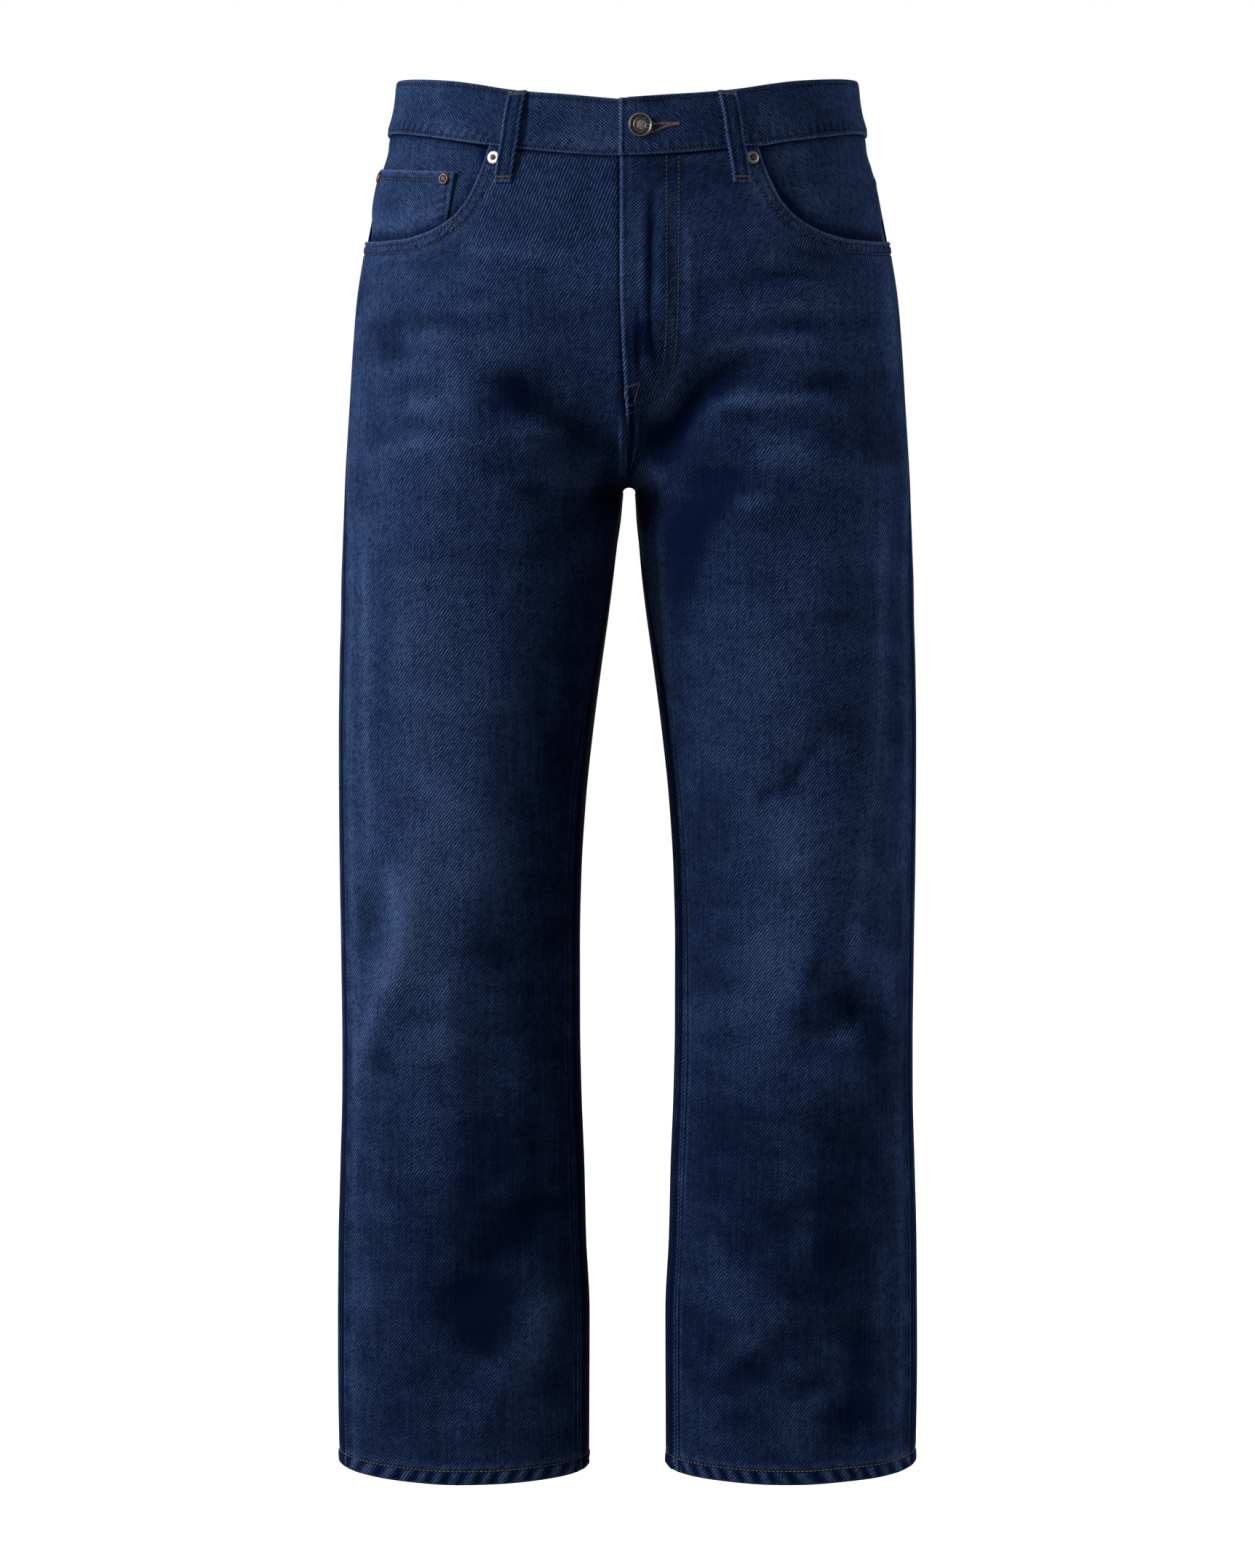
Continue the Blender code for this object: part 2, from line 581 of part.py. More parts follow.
def pierce(builder, top, under, hole):
    """Fill one cell of a wall with a round hole."""
    i, j, centre, width = hole
    count = 12
    rings = []
    for side in (top, under):
        corners = [side[i][j], side[i][j + 1], side[i + 1][j + 1], side[i + 1][j]]
        middle = sum((c.co for c in corners), Vector()) / 4
        across = (corners[1].co - corners[0].co).normalized()
        facing = across.cross(corners[3].co - corners[0].co).normalized()
        up = facing.cross(across)
        middle += across * (centre.x - middle.x) + up * (centre.z - middle.z) * math.copysign(1, up.z)
        flat = []
        for k in range(count):
            angle = 2 * math.pi * (k + 0.5) / count - 0.75 * math.pi
            flat.append(builder.verts.new(middle + across * math.cos(angle) * width / 2
                                          + up * math.sin(angle) * width / 2))
        order = sorted(range(4), key=lambda c: math.atan2((corners[c].co - middle).dot(up),
                                                          (corners[c].co - middle).dot(across)))
        corners = [corners[c] for c in order]
        share = count // 4
        for c, corner in enumerate(corners):
            first = c * share
            for k in range(first, first + share - 1):
                builder.faces.new((corner, flat[k], flat[k + 1]))
            ahead = corners[(c + 1) % 4]
            last, follow = flat[first + share - 1], flat[(first + share) % count]
            builder.faces.new((corner, last, follow, ahead))
        rings.append(flat)
    for k in range(count):
        after = (k + 1) % count
        builder.faces.new((rings[0][k], rings[0][after], rings[1][after], rings[1][k]))


def even(value):
    """The same offset everywhere on a wall."""
    return lambda i, j: value


# The pieces

def panel_rows(place, top):
    """Heights down one column of a leg panel, from its top edge to the hem."""
    heights = [top + (PANEL_TOP_ROW - top) * k / TOP_ROWS for k in range(TOP_ROWS + 1)]
    heights += HIP_ROWS + ARCH_ROWS
    hem_top = HEM_Z + HEM_DEPTH
    steps = round((heights[-1] - hem_top) / LEG_ROW_STEP)
    start = heights[-1]
    heights += [start + (hem_top - start) * k / steps for k in range(1, steps + 1)]
    return heights + [hem_top - HEM_STEP, HEM_Z + HEM_RISE * ease(2.0 * place - 1.0)]


def leg_panel(name, face, side):
    """One front or back, from its top edge to the hem. Returns its places and their normals."""
    columns = FRONT_COLUMNS if face == "front" else BACK_COLUMNS
    heights = [panel_rows(place, panel_top(face, place)) for place in columns]
    spots = [[(place, heights[j][i]) for j, place in enumerate(columns)] for i in range(len(heights[0]))]
    grid, tangents = lay_out(face, side, spots)
    draw_in(grid)
    hem_row = len(grid) - 2
    builder = wall(grid, tangents, even(0.0), lambda i, j: -HEM_CLOTH if i >= hem_row else -CLOTH)
    add_object(name, builder, DENIM)
    return grid, outward(grid, tangents)


def panel_top(face, place):
    """Height of a leg panel's top edge: the yoke's seam, or the waist and the scoop of the pocket."""
    if face == "back":
        return curve(YOKE_BOTTOM, "place", "z", place)
    if place < SCOOP[0].place:
        return waist_seam(face, place)
    return curve(SCOOP, "place", "z", place)


def yoke(name, side):
    """The panel between the waistband and a back."""
    spots = []
    for i in range(YOKE_ROWS + 1):
        spots.append([])
        for place in BACK_COLUMNS:
            top, bottom = waist_seam("back", place), panel_top("back", place)
            spots[-1].append((place, top + (bottom - top) * i / YOKE_ROWS))
    grid, tangents = lay_out("back", side, spots)
    draw_in(grid)
    return add_object(name, wall(grid, tangents, even(0.0), even(-CLOTH)), DENIM)


def scoop_distance(place, z):
    """About how far a place lies inside the pocket opening's edge, in millimetres."""
    if place <= SCOOP[0].place:
        return 0.0
    below = z - curve(SCOOP, "place", "z", place)
    nearest = min(math.hypot((place - edge.place) * FRONT_WIDTH, z - edge.z) for edge in SCOOP)
    return math.copysign(min(abs(below), nearest), below)


def facing_offset(place, z):
    """How far the facing's outer face lies off the form: deep under the front, shallow at the waist."""
    rise = ease((scoop_distance(place, z) - FACING_LEVEL) / FACING_EASE)
    return FACING_DEEP + (FACING_HIGH - FACING_DEEP) * rise


def facing_wall(side, spots, lift, gaps):
    """A wall whose outer face follows the facing, lifted off it."""
    def outer(i, j):
        """Offset of the outer face."""
        return facing_offset(*spots[i][j]) + lift

    grid, tangents = lay_out("front", side, spots)
    if gaps:
        draw_in(grid)
    return wall(grid, tangents, outer, lambda i, j: outer(i, j) - POCKET_CLOTH)


def pocket_facing(name, side):
    """The cloth seen inside a front pocket's opening; it reaches under the front."""
    columns = [FACING_START, FACING_SECOND] + [p for p in FRONT_COLUMNS if p >= SCOOP[0].place]
    places = []
    for i in range(FACING_ROWS + 1):
        places.append([])
        for place in columns:
            top = waist_seam("front", place)
            bottom = curve(SCOOP, "place", "z", max(place, FACING_CORNER)) - FACING_UNDERLAP
            places[-1].append((place, top + (bottom - top) * i / FACING_ROWS))
    return add_object(name, facing_wall(side, places, 0.0, True), POCKET_DENIM)


def coin_pocket(name):
    """The small pocket sewn on the wearer's right facing; its lower edge is under the front."""
    places = []
    for i in range(COIN_ROWS + 1):
        down = i / COIN_ROWS
        start, end = (top + (bottom - top) * down for top, bottom in zip(COIN_SIDES_TOP, COIN_SIDES_BOTTOM))
        places.append([])
        for j in range(COIN_COLUMNS + 1):
            place = start + (end - start) * j / COIN_COLUMNS
            top = curve(COIN_TOP, "place", "z", place)
            bottom = curve(SCOOP, "place", "z", place) - COIN_UNDERLAP
            places[-1].append((place, top + (bottom - top) * down))
    return add_object(name, facing_wall(RIGHT, places, COIN_GAP + POCKET_CLOTH, False), POCKET_DENIM)


def back_pocket(name, side, grid, normals):
    """A five-sided pocket cut from the back panel's own flats."""
    corners = ((PATCH_INNER[0], PATCH_TOP_Z), (PATCH_OUTER[0], PATCH_TOP_Z), (PATCH_OUTER[1], PATCH_CORNER_Z),
               (sum(PATCH_INNER + PATCH_OUTER) / 4, PATCH_TIP_Z), (PATCH_INNER[1], PATCH_CORNER_Z))
    outline = [form("back", side, place_along("back", side, z, distance), z) for distance, z in corners]
    add_object(name, patch(grid, normals, outline, SEAM_GAP, PATCH_CLOTH), DENIM)


def band_spot(turn, share):
    """A place on the waistband: turn counts half rounds from the front middle over the wearer's left."""
    turn = turn - 2.0 if turn > 1.0 else turn
    side = LEFT if turn >= 0.0 else RIGHT
    angle = abs(turn) * 180.0
    face = "front" if angle <= 90.0 else "back"
    centre = centre_angle(face, side, 0.0)
    place = (angle - centre) / (90.0 - centre)
    bottom = waist_seam(face, place) + SEAM_GAP
    z = bottom + (band_top(face, place) - bottom) * share
    x, y = rounded(angle, curve(HIPS, "z", "half_width", z), curve(HIPS, "z", "front", z),
                   curve(HIPS, "z", "back", z))
    return Vector((side * x, y, z))


def waistband(name):
    """The band round the waist, whose free end laps over the other and holds the buttonhole."""
    half = HIPS[3].half_width

    def turn_at(x):
        """The turn at a distance across the front."""
        return math.asin(x / half) / math.pi

    button_x, button_z = BUTTON_PLACE
    bottom = waist_seam("front", 0) + SEAM_GAP
    low, high = ((button_z + step - bottom) / (band_top("front", 0) - bottom)
                 for step in (-BUTTON_REACH, BUTTON_REACH))
    turns = [turn_at(x) for x in (BAND_START_X, button_x - BUTTON_REACH, button_x + BUTTON_REACH, BAND_BEND_X)]
    last = 2.0 + turn_at(BAND_PASS_X)
    start, span = turns[-1], last - turns[-1]
    turns += [start + span * k / BAND_STEPS for k in range(1, BAND_STEPS + 1)]
    turns.append(2.0 + turn_at(BAND_UNDER_X))
    shares = [1.0, high, low, 0.0]
    grid = [[band_spot(turn, share) for turn in turns] for share in shares]
    tangents = [[band_spot(turn + 0.003, share) - band_spot(turn - 0.003, share) for turn in turns]
                for share in shares]

    def outer(i, j):
        """Offset of the outer face, the same down a column."""
        fade, dive = (ease((turns[j] - start) / (end - start)) for start, end in (OVERLAP_TURNS, UNDERLAP_TURNS))
        return BAND_PROUD + OVERLAP_RAISE * (1.0 - fade) - UNDERLAP_SINK * dive

    hole = (1, 1, Vector((button_x, 0, button_z)), BUTTONHOLE)
    builder = wall(grid, tangents, outer, lambda i, j: outer(i, j) - BAND_CLOTH, hole)
    return add_object(name, builder, DENIM)


def belt_loop(loop):
    """A strip over the waistband, fixed at both ends and standing off it in between."""
    grid, tangents, lifts = [], [], []
    top_z = band_top(loop.face, loop.top) - LOOP_DROP
    for i in range(LOOP_ROWS + 1):
        share = i / LOOP_ROWS
        z = top_z + (loop.low_z - top_z) * share
        place = loop.top + (loop.bottom - loop.top) * share
        here, beside = (form(loop.face, loop.side, p, z) for p in (place, place + 0.01))
        across = (beside - here).normalized()
        grid.append([here + across * LOOP_WIDTH / 2 * k for k in (-1, 0, 1)])
        tangents.append([across] * 3)
        lifts.append(line(LOOP_LIFT, share))
    builder = wall(grid, tangents, lambda i, j: lifts[i] + LOOP_CLOTH, lambda i, j: lifts[i])
    return add_object(loop.name, builder, DENIM)


def turned(name, profile, spot, facing, finish, segments):
    """A round fitting: profile is (radius, height) pairs, turned about the direction it faces."""
    builder = bmesh.new()
    turn = facing.to_track_quat("Z", "Y")
    rings = []
    for radius, height in profile:
        if radius == 0.0:
            rings.append([builder.verts.new(spot + facing * height)])
            continue
        rings.append([builder.verts.new(spot + turn @ Vector((radius * math.cos(2 * math.pi * k / segments),
                                                               radius * math.sin(2 * math.pi * k / segments),
                                                               height))) for k in range(segments)])
    for low, high in zip(rings, rings[1:]):
        for k in range(segments):
            after = (k + 1) % segments
            corners = [low[k % len(low)], low[after % len(low)], high[after % len(high)], high[k % len(high)]]
            builder.faces.new(list(dict.fromkeys(corners)))
    return add_object(name, builder, finish)


def facing_at(face, side, place, z):
    """A place on the form and the way it faces."""
    here = form(face, side, place, z)
    across = form(face, side, place + 0.01, z) - here
    down = form(face, side, place, z - 1.0) - here
    normal = across.cross(down).normalized()
    return here, normal if normal.dot(Vector((here.x * 0.3, here.y, 0.0))) > 0.0 else -normal


def button(name):
    """The shank button, through its buttonhole."""
    x, z = BUTTON_PLACE
    half = curve(HIPS, "z", "half_width", z)
    depth = rounded(math.degrees(math.asin(x / half)), half, curve(HIPS, "z", "front", z), 0.0)[1]
    facing = Vector(BUTTON_FACING).normalized()
    return turned(name, BUTTON_PROFILE, Vector((x, depth, z)), facing, DARK_METAL, BUTTON_SIDES)


def rivet(name, side, place, z, width, surface, finish):
    """A rivet's cap, standing a seam gap off the wall it holds."""
    spot, facing = facing_at("front", side, place, z)
    radius, low = width / 2, surface + SEAM_GAP
    rim = [(radius + past, low + rise) for past, rise in RIVET_PROFILE]
    profile = [(0.0, low), *rim, (0.0, low + RIVET_DOME)]
    return turned(name, profile, spot, facing, finish, RIVET_SIDES)


def main():
    """Build every piece in an empty scene."""
    for item in list(bpy.data.objects):
        bpy.data.objects.remove(item, do_unlink=True)
    for side, word in ((LEFT, "left"), (RIGHT, "right")):
        leg_panel(f"front_{word}", "front", side)
        grid, normals = leg_panel(f"back_{word}", "back", side)
        back_pocket(f"back_pocket_{word}", side, grid, normals)
        yoke(f"yoke_{word}", side)
        pocket_facing(f"pocket_facing_{word}", side)
        finish = DARK_METAL if side == LEFT else BRIGHT_METAL
        rivet(f"pocket_rivet_{word}", side, *POCKET_RIVET, RIVET_WIDTH, 0.0, finish)
    coin_pocket("coin_pocket")
    for name, spot in COIN_RIVETS.items():
        surface = facing_offset(*spot) + COIN_GAP + POCKET_CLOTH
        rivet(name, RIGHT, *spot, COIN_RIVET_WIDTH, surface, COPPER)
    waistband("waistband")
    for loop in LOOPS:
        belt_loop(loop)
    button("button")


main()
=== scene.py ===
"""The looks of a pair of straight-leg five-pocket jeans, filled out as when they are worn.

Every cloth piece is a thin shell on the worn form, with its folds, seams and fades, and with light and shade
painted into its colour: painted highlights on ridges and edges, painted shade in troughs, grooves and under
edges. Tables are in millimetres: X runs to the wearer's left, Z up from the middle of the waistband, and the
front faces -Y.
"""

import logging
import math
from dataclasses import dataclass
from enum import Enum

import bmesh
import bpy
import numpy as np
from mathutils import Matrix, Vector
from mathutils.bvhtree import BVHTree


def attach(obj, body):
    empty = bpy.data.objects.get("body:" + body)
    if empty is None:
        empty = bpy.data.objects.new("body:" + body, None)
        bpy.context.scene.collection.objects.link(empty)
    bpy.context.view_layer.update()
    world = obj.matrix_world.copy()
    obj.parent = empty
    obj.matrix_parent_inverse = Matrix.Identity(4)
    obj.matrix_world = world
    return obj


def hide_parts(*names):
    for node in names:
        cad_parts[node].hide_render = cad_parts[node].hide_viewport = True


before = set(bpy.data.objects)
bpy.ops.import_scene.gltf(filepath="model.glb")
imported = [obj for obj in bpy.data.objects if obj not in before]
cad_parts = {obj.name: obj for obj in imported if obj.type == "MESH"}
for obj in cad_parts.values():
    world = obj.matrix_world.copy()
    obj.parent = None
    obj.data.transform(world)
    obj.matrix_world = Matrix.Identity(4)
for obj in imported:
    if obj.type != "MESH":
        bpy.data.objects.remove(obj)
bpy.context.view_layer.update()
LOG = logging.getLogger("jeans")

MM = 0.001
LEFT, RIGHT = 1, -1

Array = np.ndarray


class Face(Enum):
    """The two faces of the garment. The value is the way they face along Y."""

    FRONT = -1
    BACK = 1


class Lay(Enum):
    HUNG = "hung"
    STRETCHED = "stretched"


# ---------------------------------------------------------------- sizes

BAND_HEIGHT = 40.0
CROTCH_Z = -276.4
HEM_Z = -1019.0
HEM_RISE = 2.4              # the hem's edge rises towards the side seam
FLY_SHIFT = 5.5             # the fly's edge lies this far past the middle
FLY_CLEAR = 15.0            # and is back in the middle this far above the crotch
FLY_EASE = 45.0
ROUNDNESS = 2.25            # exponent of the rings: 2 is an ellipse
HEM_ROUNDNESS = 2.0
FRONT_RISE = 105.0          # height over which the centre seam turns under to the crotch
BACK_RISE = 130.0
CLOSE_UP = 150.0            # height over which the hips' points slide over to stand above a leg's
CROTCH_CURVE = 3.6          # height of the small arch between the legs
CROTCH_SHIFT = 1.2            # how far the top of the gap between the legs leans to the wearer's left
ARCH_REACH = 0.06           # how far round a leg the arch is felt, by place
SOFT_PLACE = 0.3            # place where the rise is half as sharp as at the centre seam
SIDE_PLACE = 0.4            # place from which the rise is as soft as at the side seam
FOLD_END = 0.35             # share of a fold's height left at its two ends
FOLD_FADE = 0.1             # folds fade out within this much of a seam, by place
WAIST_FRONT_Z = -46.3       # waist seam at the fly
WAIST_RISE = 26.0           # and its climb to the side seam
WAIST_BEND = 1.7
SHEET_WALL = 1.1            # one layer of cloth
HEM_WALL = 2.4
HEM_DEPTH = 14.0
HEM_TOP = HEM_Z + 15.0      # the panels' rows are closer below this
HEM_STITCH = 10.6           # the hem's row above its edge
PANEL_LEVEL = -128.0        # the panels' rows are level below this
SCOOP_ROWS = (2.7, 9.2)     # the pocket edge's two rows
FOLD_GAIN = 1.45            # how much fuller the cloth's folds are than the solid's
CREASE_GAIN = 1.5
LIFT = 0.15                 # a row of sewing above the cloth
FAR = 99.0                  # a distance at which a seam isn't felt
AWAY = 1e4                  # where points go that a search leaves out


@dataclass(frozen=True)
class Table:
    """Rows of sizes with named columns, read smoothly between the rows with no overshoot."""

    columns: tuple[str, ...]
    rows: tuple[tuple[float, ...], ...]

    def read(self, column: str, at: Array | float) -> Array:
        """Read one column.

        Args:
            column: the column's name.
            at: where to read it, in the first column's terms.

        Returns:
            The values there.
        """
        rows = np.array(sorted(self.rows), dtype=float)
        xs, ys = rows[:, 0], rows[:, self.columns.index(column)]
        steps = np.diff(xs)
        slopes = np.diff(ys) / steps
        before, after = slopes[:-1], slopes[1:]
        turning = before * after <= 0.0
        middle = np.where(turning, 0.0, 2.0 * before * after / np.where(turning, 1.0, before + after))
        tangents = np.concatenate(([slopes[0]], middle, [slopes[-1]]))
        at = np.clip(at, xs[0], xs[-1])
        k = np.clip(np.searchsorted(xs, at, side="right") - 1, 0, len(steps) - 1)
        t = (at - xs[k]) / steps[k]
        start, end, rise = tangents[k] * steps[k], tangents[k + 1] * steps[k], ys[k + 1] - ys[k]
        return ys[k] + t * (start + t * (3 * rise - 2 * start - end + t * (start + end - 2 * rise)))


HIPS = Table(("z", "half_width", "front", "back"), (
    (34, 167.6, 111, 111), (17, 168.8, 112, 113), (0, 170.8, 114, 115), (-20, 175.4, 116, 118),
    (-32, 176.8, 116.5, 120), (-44, 180.4, 117, 123), (-57, 184.2, 118, 126), (-78, 188.5, 119, 131),
    (-100, 192.9, 120, 136), (-142, 199.7, 122, 144), (-185, 203.4, 122, 146), (-217, 205.8, 121, 143),
    (-249, 208.2, 119, 137), (-280, 209.6, 117, 130),
))
LEG = Table(("z", "inner", "outer", "front", "back"), (
    (-140, 2.6, 199.6, -118, 134), (-230, 3.4, 206.8, -116, 129), (-270, 4.1, 209.3, -114.5, 123),
    (-292, 5.4, 210.2, -113, 118), (-319, 8.1, 211.5, -111, 111), (-346, 10.9, 212.8, -108, 105),
    (-374, 14.4, 213.3, -105, 99), (-401, 18.2, 214.2, -102, 94), (-455, 25.3, 215.3, -96, 86),
    (-510, 31.1, 215.5, -90, 79), (-565, 34.5, 215.4, -83, 72), (-620, 35.7, 215.0, -77, 67),
    (-676, 35.7, 214.8, -71, 65), (-731, 34.7, 215.5, -67, 65), (-787, 32.6, 217.5, -63, 63),
    (-843, 31.3, 219.3, -60, 60), (-900, 28.7, 220.1, -58, 57), (-956, 28.9, 220.5, -57, 55),
    (-1019, 29.2, 219.7, -57, 54),
))
SEAM_LEANS = Table(("z", "side", "inseam"), (
    (-175, 0, 0), (-277, 12, 0), (-350, 20, 12), (-440, 20, 20), (-1019, 20, 20),
))
LEG_MIDDLE = Table(("z", "y"), (
    (-140, 0), (-277, 6), (-330, 3), (-420, -2), (-520, -5), (-640, -4), (-760, 0), (-1019, -2),
))
BAND_TOP_FRONT = Table(("place", "z"), (
    (0.0, -6.2), (0.12, -3.7), (0.2, -2.1), (0.27, -0.2), (0.31, 1.2), (0.42, 6.2), (0.51, 9.6),
    (0.76, 15.6), (1.0, 19.5),
))
BAND_TOP_BACK = Table(("place", "z"), (
    (0.0, 21), (0.2, 22), (0.45, 24), (0.68, 25), (0.85, 23), (1.0, 19.5),
))
YOKE_BOTTOM = Table(("place", "z"), ((0.0, -82), (0.5, -70), (1.0, -56)))
SCOOP = Table(("place", "z"), (
    (0.356, -38.4), (0.361, -45.0), (0.372, -57.0), (0.385, -66.0), (0.402, -75.0), (0.43, -84.0),
    (0.47, -91.2), (0.53, -97.0), (0.62, -100.3), (0.73, -100.2), (0.86, -98.4), (1.0, -96.5),
))
SCOOP_START = 0.356

# Folds, fades and painted light and shade: a line through three places (x z x z x z), its half width, and its
# height or strength
Rows = tuple[tuple[float, ...], ...]
FRONT_FOLDS: Rows = (
    (-102, -190, -58, -213, -16, -248, 9, -5.0), (-100, -230, -72, -236, -42, -238, 8, 2.6),
    (-104, -256, -62, -262, -20, -266, 9, -3.2), (88, -188, 52, -204, 25, -248, 10, -6.0),
    (52, -226, 95, -220, 145, -217, 8, 2.8), (96, -256, 62, -270, 30, -290, 10, -4.6),
    (66, -294, 90, -295, 118, -291, 8, 2.4), (-46, -400, -58, -500, -84, -610, 24, -4.5),
    (-112, -430, -104, -540, -132, -616, 20, 3.6), (-152, -540, -166, -612, -192, -700, 11, 4.6),
    (-182, -560, -188, -610, -196, -650, 9, -3.0), (-96, -640, -106, -720, -98, -800, 16, -3.6),
    (-150, -650, -142, -676, -138, -700, 17, 3.4), (-56, -796, -96, -846, -140, -896, 14, -4.0),
    (-56, -872, -92, -936, -116, -984, 12, 3.8), (152, -448, 134, -476, 112, -506, 10, -3.2),
    (116, -500, 132, -560, 140, -604, 18, 3.2), (142, -600, 130, -640, 116, -686, 9, 3.6),
    (152, -640, 158, -656, 170, -664, 13, -5.0), (166, -604, 190, -652, 200, -716, 10, 4.2),
    (158, -694, 148, -706, 140, -722, 15, 3.4), (60, -640, 72, -720, 84, -800, 22, -2.8),
    (38, -826, 66, -866, 92, -900, 14, 2.8), (132, -894, 106, -922, 74, -950, 12, -3.4),
    (168, -890, 162, -950, 158, -1004, 13, -3.6), (190, -900, 186, -960, 188, -1006, 9, 3.2),
)
BACK_FOLDS: Rows = (
    (-34, -296, -78, -318, -140, -322, 10, -4.8), (-40, -330, -84, -352, -132, -356, 11, -3.4),
    (38, -292, 86, -320, 146, -318, 10, -5.2), (46, -338, 92, -356, 128, -352, 12, -3.2),
    (-60, -460, -104, -520, -120, -600, 22, 3.4), (62, -440, 96, -510, 126, -590, 20, 3.8),
    (-64, -612, -112, -640, -168, -630, 11, -5.0), (-172, -688, -124, -672, -76, -692, 12, -4.4),
    (70, -624, 122, -646, 178, -622, 12, -4.6), (166, -700, 120, -680, 72, -704, 11, -4.8),
    (-88, -730, -122, -800, -150, -880, 15, 3.4), (84, -744, 128, -816, 142, -892, 16, 3.2),
    (-64, -900, -104, -930, -146, -970, 12, -3.6), (66, -960, 110, -926, 160, -900, 12, -3.8),
)
FRONT_CREASES: Rows = (
    (-118, -113, -97, -113, -40, -119, 4, 1.0), (-97, -121, -68, -123, -40, -123, 4, -0.8),
    (-177, -119, -160, -125, -143, -133, 4, 1.0), (-125, -141, -109, -142, -93, -143, 4, -0.8),
    (-118, -128, -109, -133, -97, -137, 4, 0.8), (-120, -150, -109, -152, -95, -153, 4, 0.8),
    (-170, -157, -113, -164, -81, -163, 5, -1.2), (-157, -171, -143, -173, -122, -173, 5, 1.0),
    (-178, -179, -166, -183, -153, -186, 5, -0.9), (-187, -191, -166, -194, -135, -190, 6, 1.2),
    (-166, -205, -145, -206, -125, -205, 5, -1.0), (-157, -219, -143, -222, -132, -227, 5, 1.2),
    (-159, -234, -148, -232, -137, -230, 5, -0.8), (-178, -248, -161, -249, -141, -248, 5, 1.0),
    (-82, -241, -63, -239, -43, -236, 3.2, 1.6), (-93, -273, -68, -270, -41, -271, 3.6, 1.4),
    (-77, -250, -68, -253, -59, -255, 6, 1.2), (-77, -280, -66, -279, -54, -278, 4, -1.2),
    (74, -134, 103, -130, 165, -123, 4, -1.2), (95, -119, 104, -118, 113, -118, 5, 1.0),
    (97, -140, 117, -136, 138, -133, 4.5, 1.0), (95, -145, 109, -143, 122, -141, 4, -0.8),
    (58, -157, 96, -154, 138, -150, 5, 0.9), (86, -166, 112, -165, 138, -163, 5, -1.2),
    (54, -184, 88, -176, 133, -173, 4.2, 1.6), (124, -205, 140, -203, 157, -200, 5, -1.5),
    (56, -219, 95, -216, 143, -216, 3.6, 2.2), (67, -230, 81, -229, 97, -227, 4.5, -1.6),
    (75, -286, 89, -288, 104, -291, 4.2, 2.0), (112, -241, 133, -245, 159, -243, 8, -1.0),
    (117, -262, 138, -267, 169, -266, 8, 0.9), (16, -70, 16, -139, 16, -190, 1.9, -1.5),
    (9, -70, 9, -129, 10, -165, 2.4, 1.1), (23, -70, 23, -119, 23, -155, 2.4, 1.1),
    (6, -150, 7, -175, 7, -200, 2.4, -1.4), (43, -85, 44, -149, 43, -180, 2.2, 1.3),
    (43, -180, 29, -213, 6, -235, 2.2, 1.3), (12, -170, 13, -190, 16, -206, 2.0, 1.2),
    (-157, -365, -161, -399, -163, -418, 5, 0.8),
    (-174, -550, -169, -579, -164, -598, 6, 1.4), (-134, -628, -130, -644, -131, -658, 5, 1.0),
    (-162, -663, -149, -666, -135, -661, 8, -1.2), (-120, -802, -102, -797, -87, -792, 5, 1.0),
    (-205, -761, -184, -779, -178, -802, 5, 1.1), (-66, -720, -59, -744, -55, -758, 6, 0.9),
    (-57, -878, -65, -900, -73, -928, 6, 1.6), (146, -439, 136, -455, 130, -470, 5, -1.4),
    (133, -460, 122, -478, 114, -497, 4.5, -1.8), (143, -448, 156, -449, 169, -444, 5, -1.0),
    (104, -491, 101, -499, 99, -510, 4, -1.2), (112, -552, 125, -549, 138, -547, 4.5, 1.0),
    (124, -585, 119, -579, 113, -573, 4, -0.8), (65, -601, 79, -605, 95, -603, 6, -1.0),
    (80, -917, 66, -933, 61, -942, 7, 0.9), (112, -942, 134, -946, 156, -943, 6, -1.4),
    (129, -967, 139, -958, 150, -956, 6, 1.2), (39, -956, 53, -967, 66, -980, 6, 0.8),
)
BACK_CREASES: Rows = (
    (-60, -272, -96, -280, -150, -274, 6, -1.6), (52, -266, 100, -276, 158, -268, 6, -1.5),
    (-30, -306, -66, -330, -100, -340, 5, 1.8), (34, -304, 74, -332, 118, -336, 5, 1.7),
    (-60, -372, -104, -384, -150, -378, 6, -1.4), (66, -376, 104, -386, 140, -374, 6, -1.3),
    (-70, -404, -100, -412, -132, -404, 5, 1.1), (74, -398, 104, -406, 146, -398, 5, 1.1),
    (-70, -586, -108, -600, -150, -592, 5, 1.6), (72, -594, 110, -604, 158, -590, 5, 1.7),
    (-150, -650, -122, -658, -90, -654, 4.5, 1.5), (84, -662, 118, -664, 160, -654, 4.5, 1.6),
    (-160, -714, -128, -708, -92, -716, 5, -1.4), (88, -722, 120, -716, 152, -726, 5, -1.4),
    (-140, -560, -112, -568, -92, -560, 5, -1.1), (94, -566, 116, -574, 146, -562, 5, -1.1),
    (-120, -150, -70, -158, -20, -176, 7, -1.0), (124, -146, 78, -156, 24, -172, 7, -1.1),
    (-52, -214, -36, -232, -22, -256, 6, -1.6), (54, -210, 38, -232, 24, -254, 6, -1.5),
    (-120, -930, -96, -954, -84, -984, 7, 1.2), (112, -956, 130, -974, 148, -986, 7, 1.2),
)
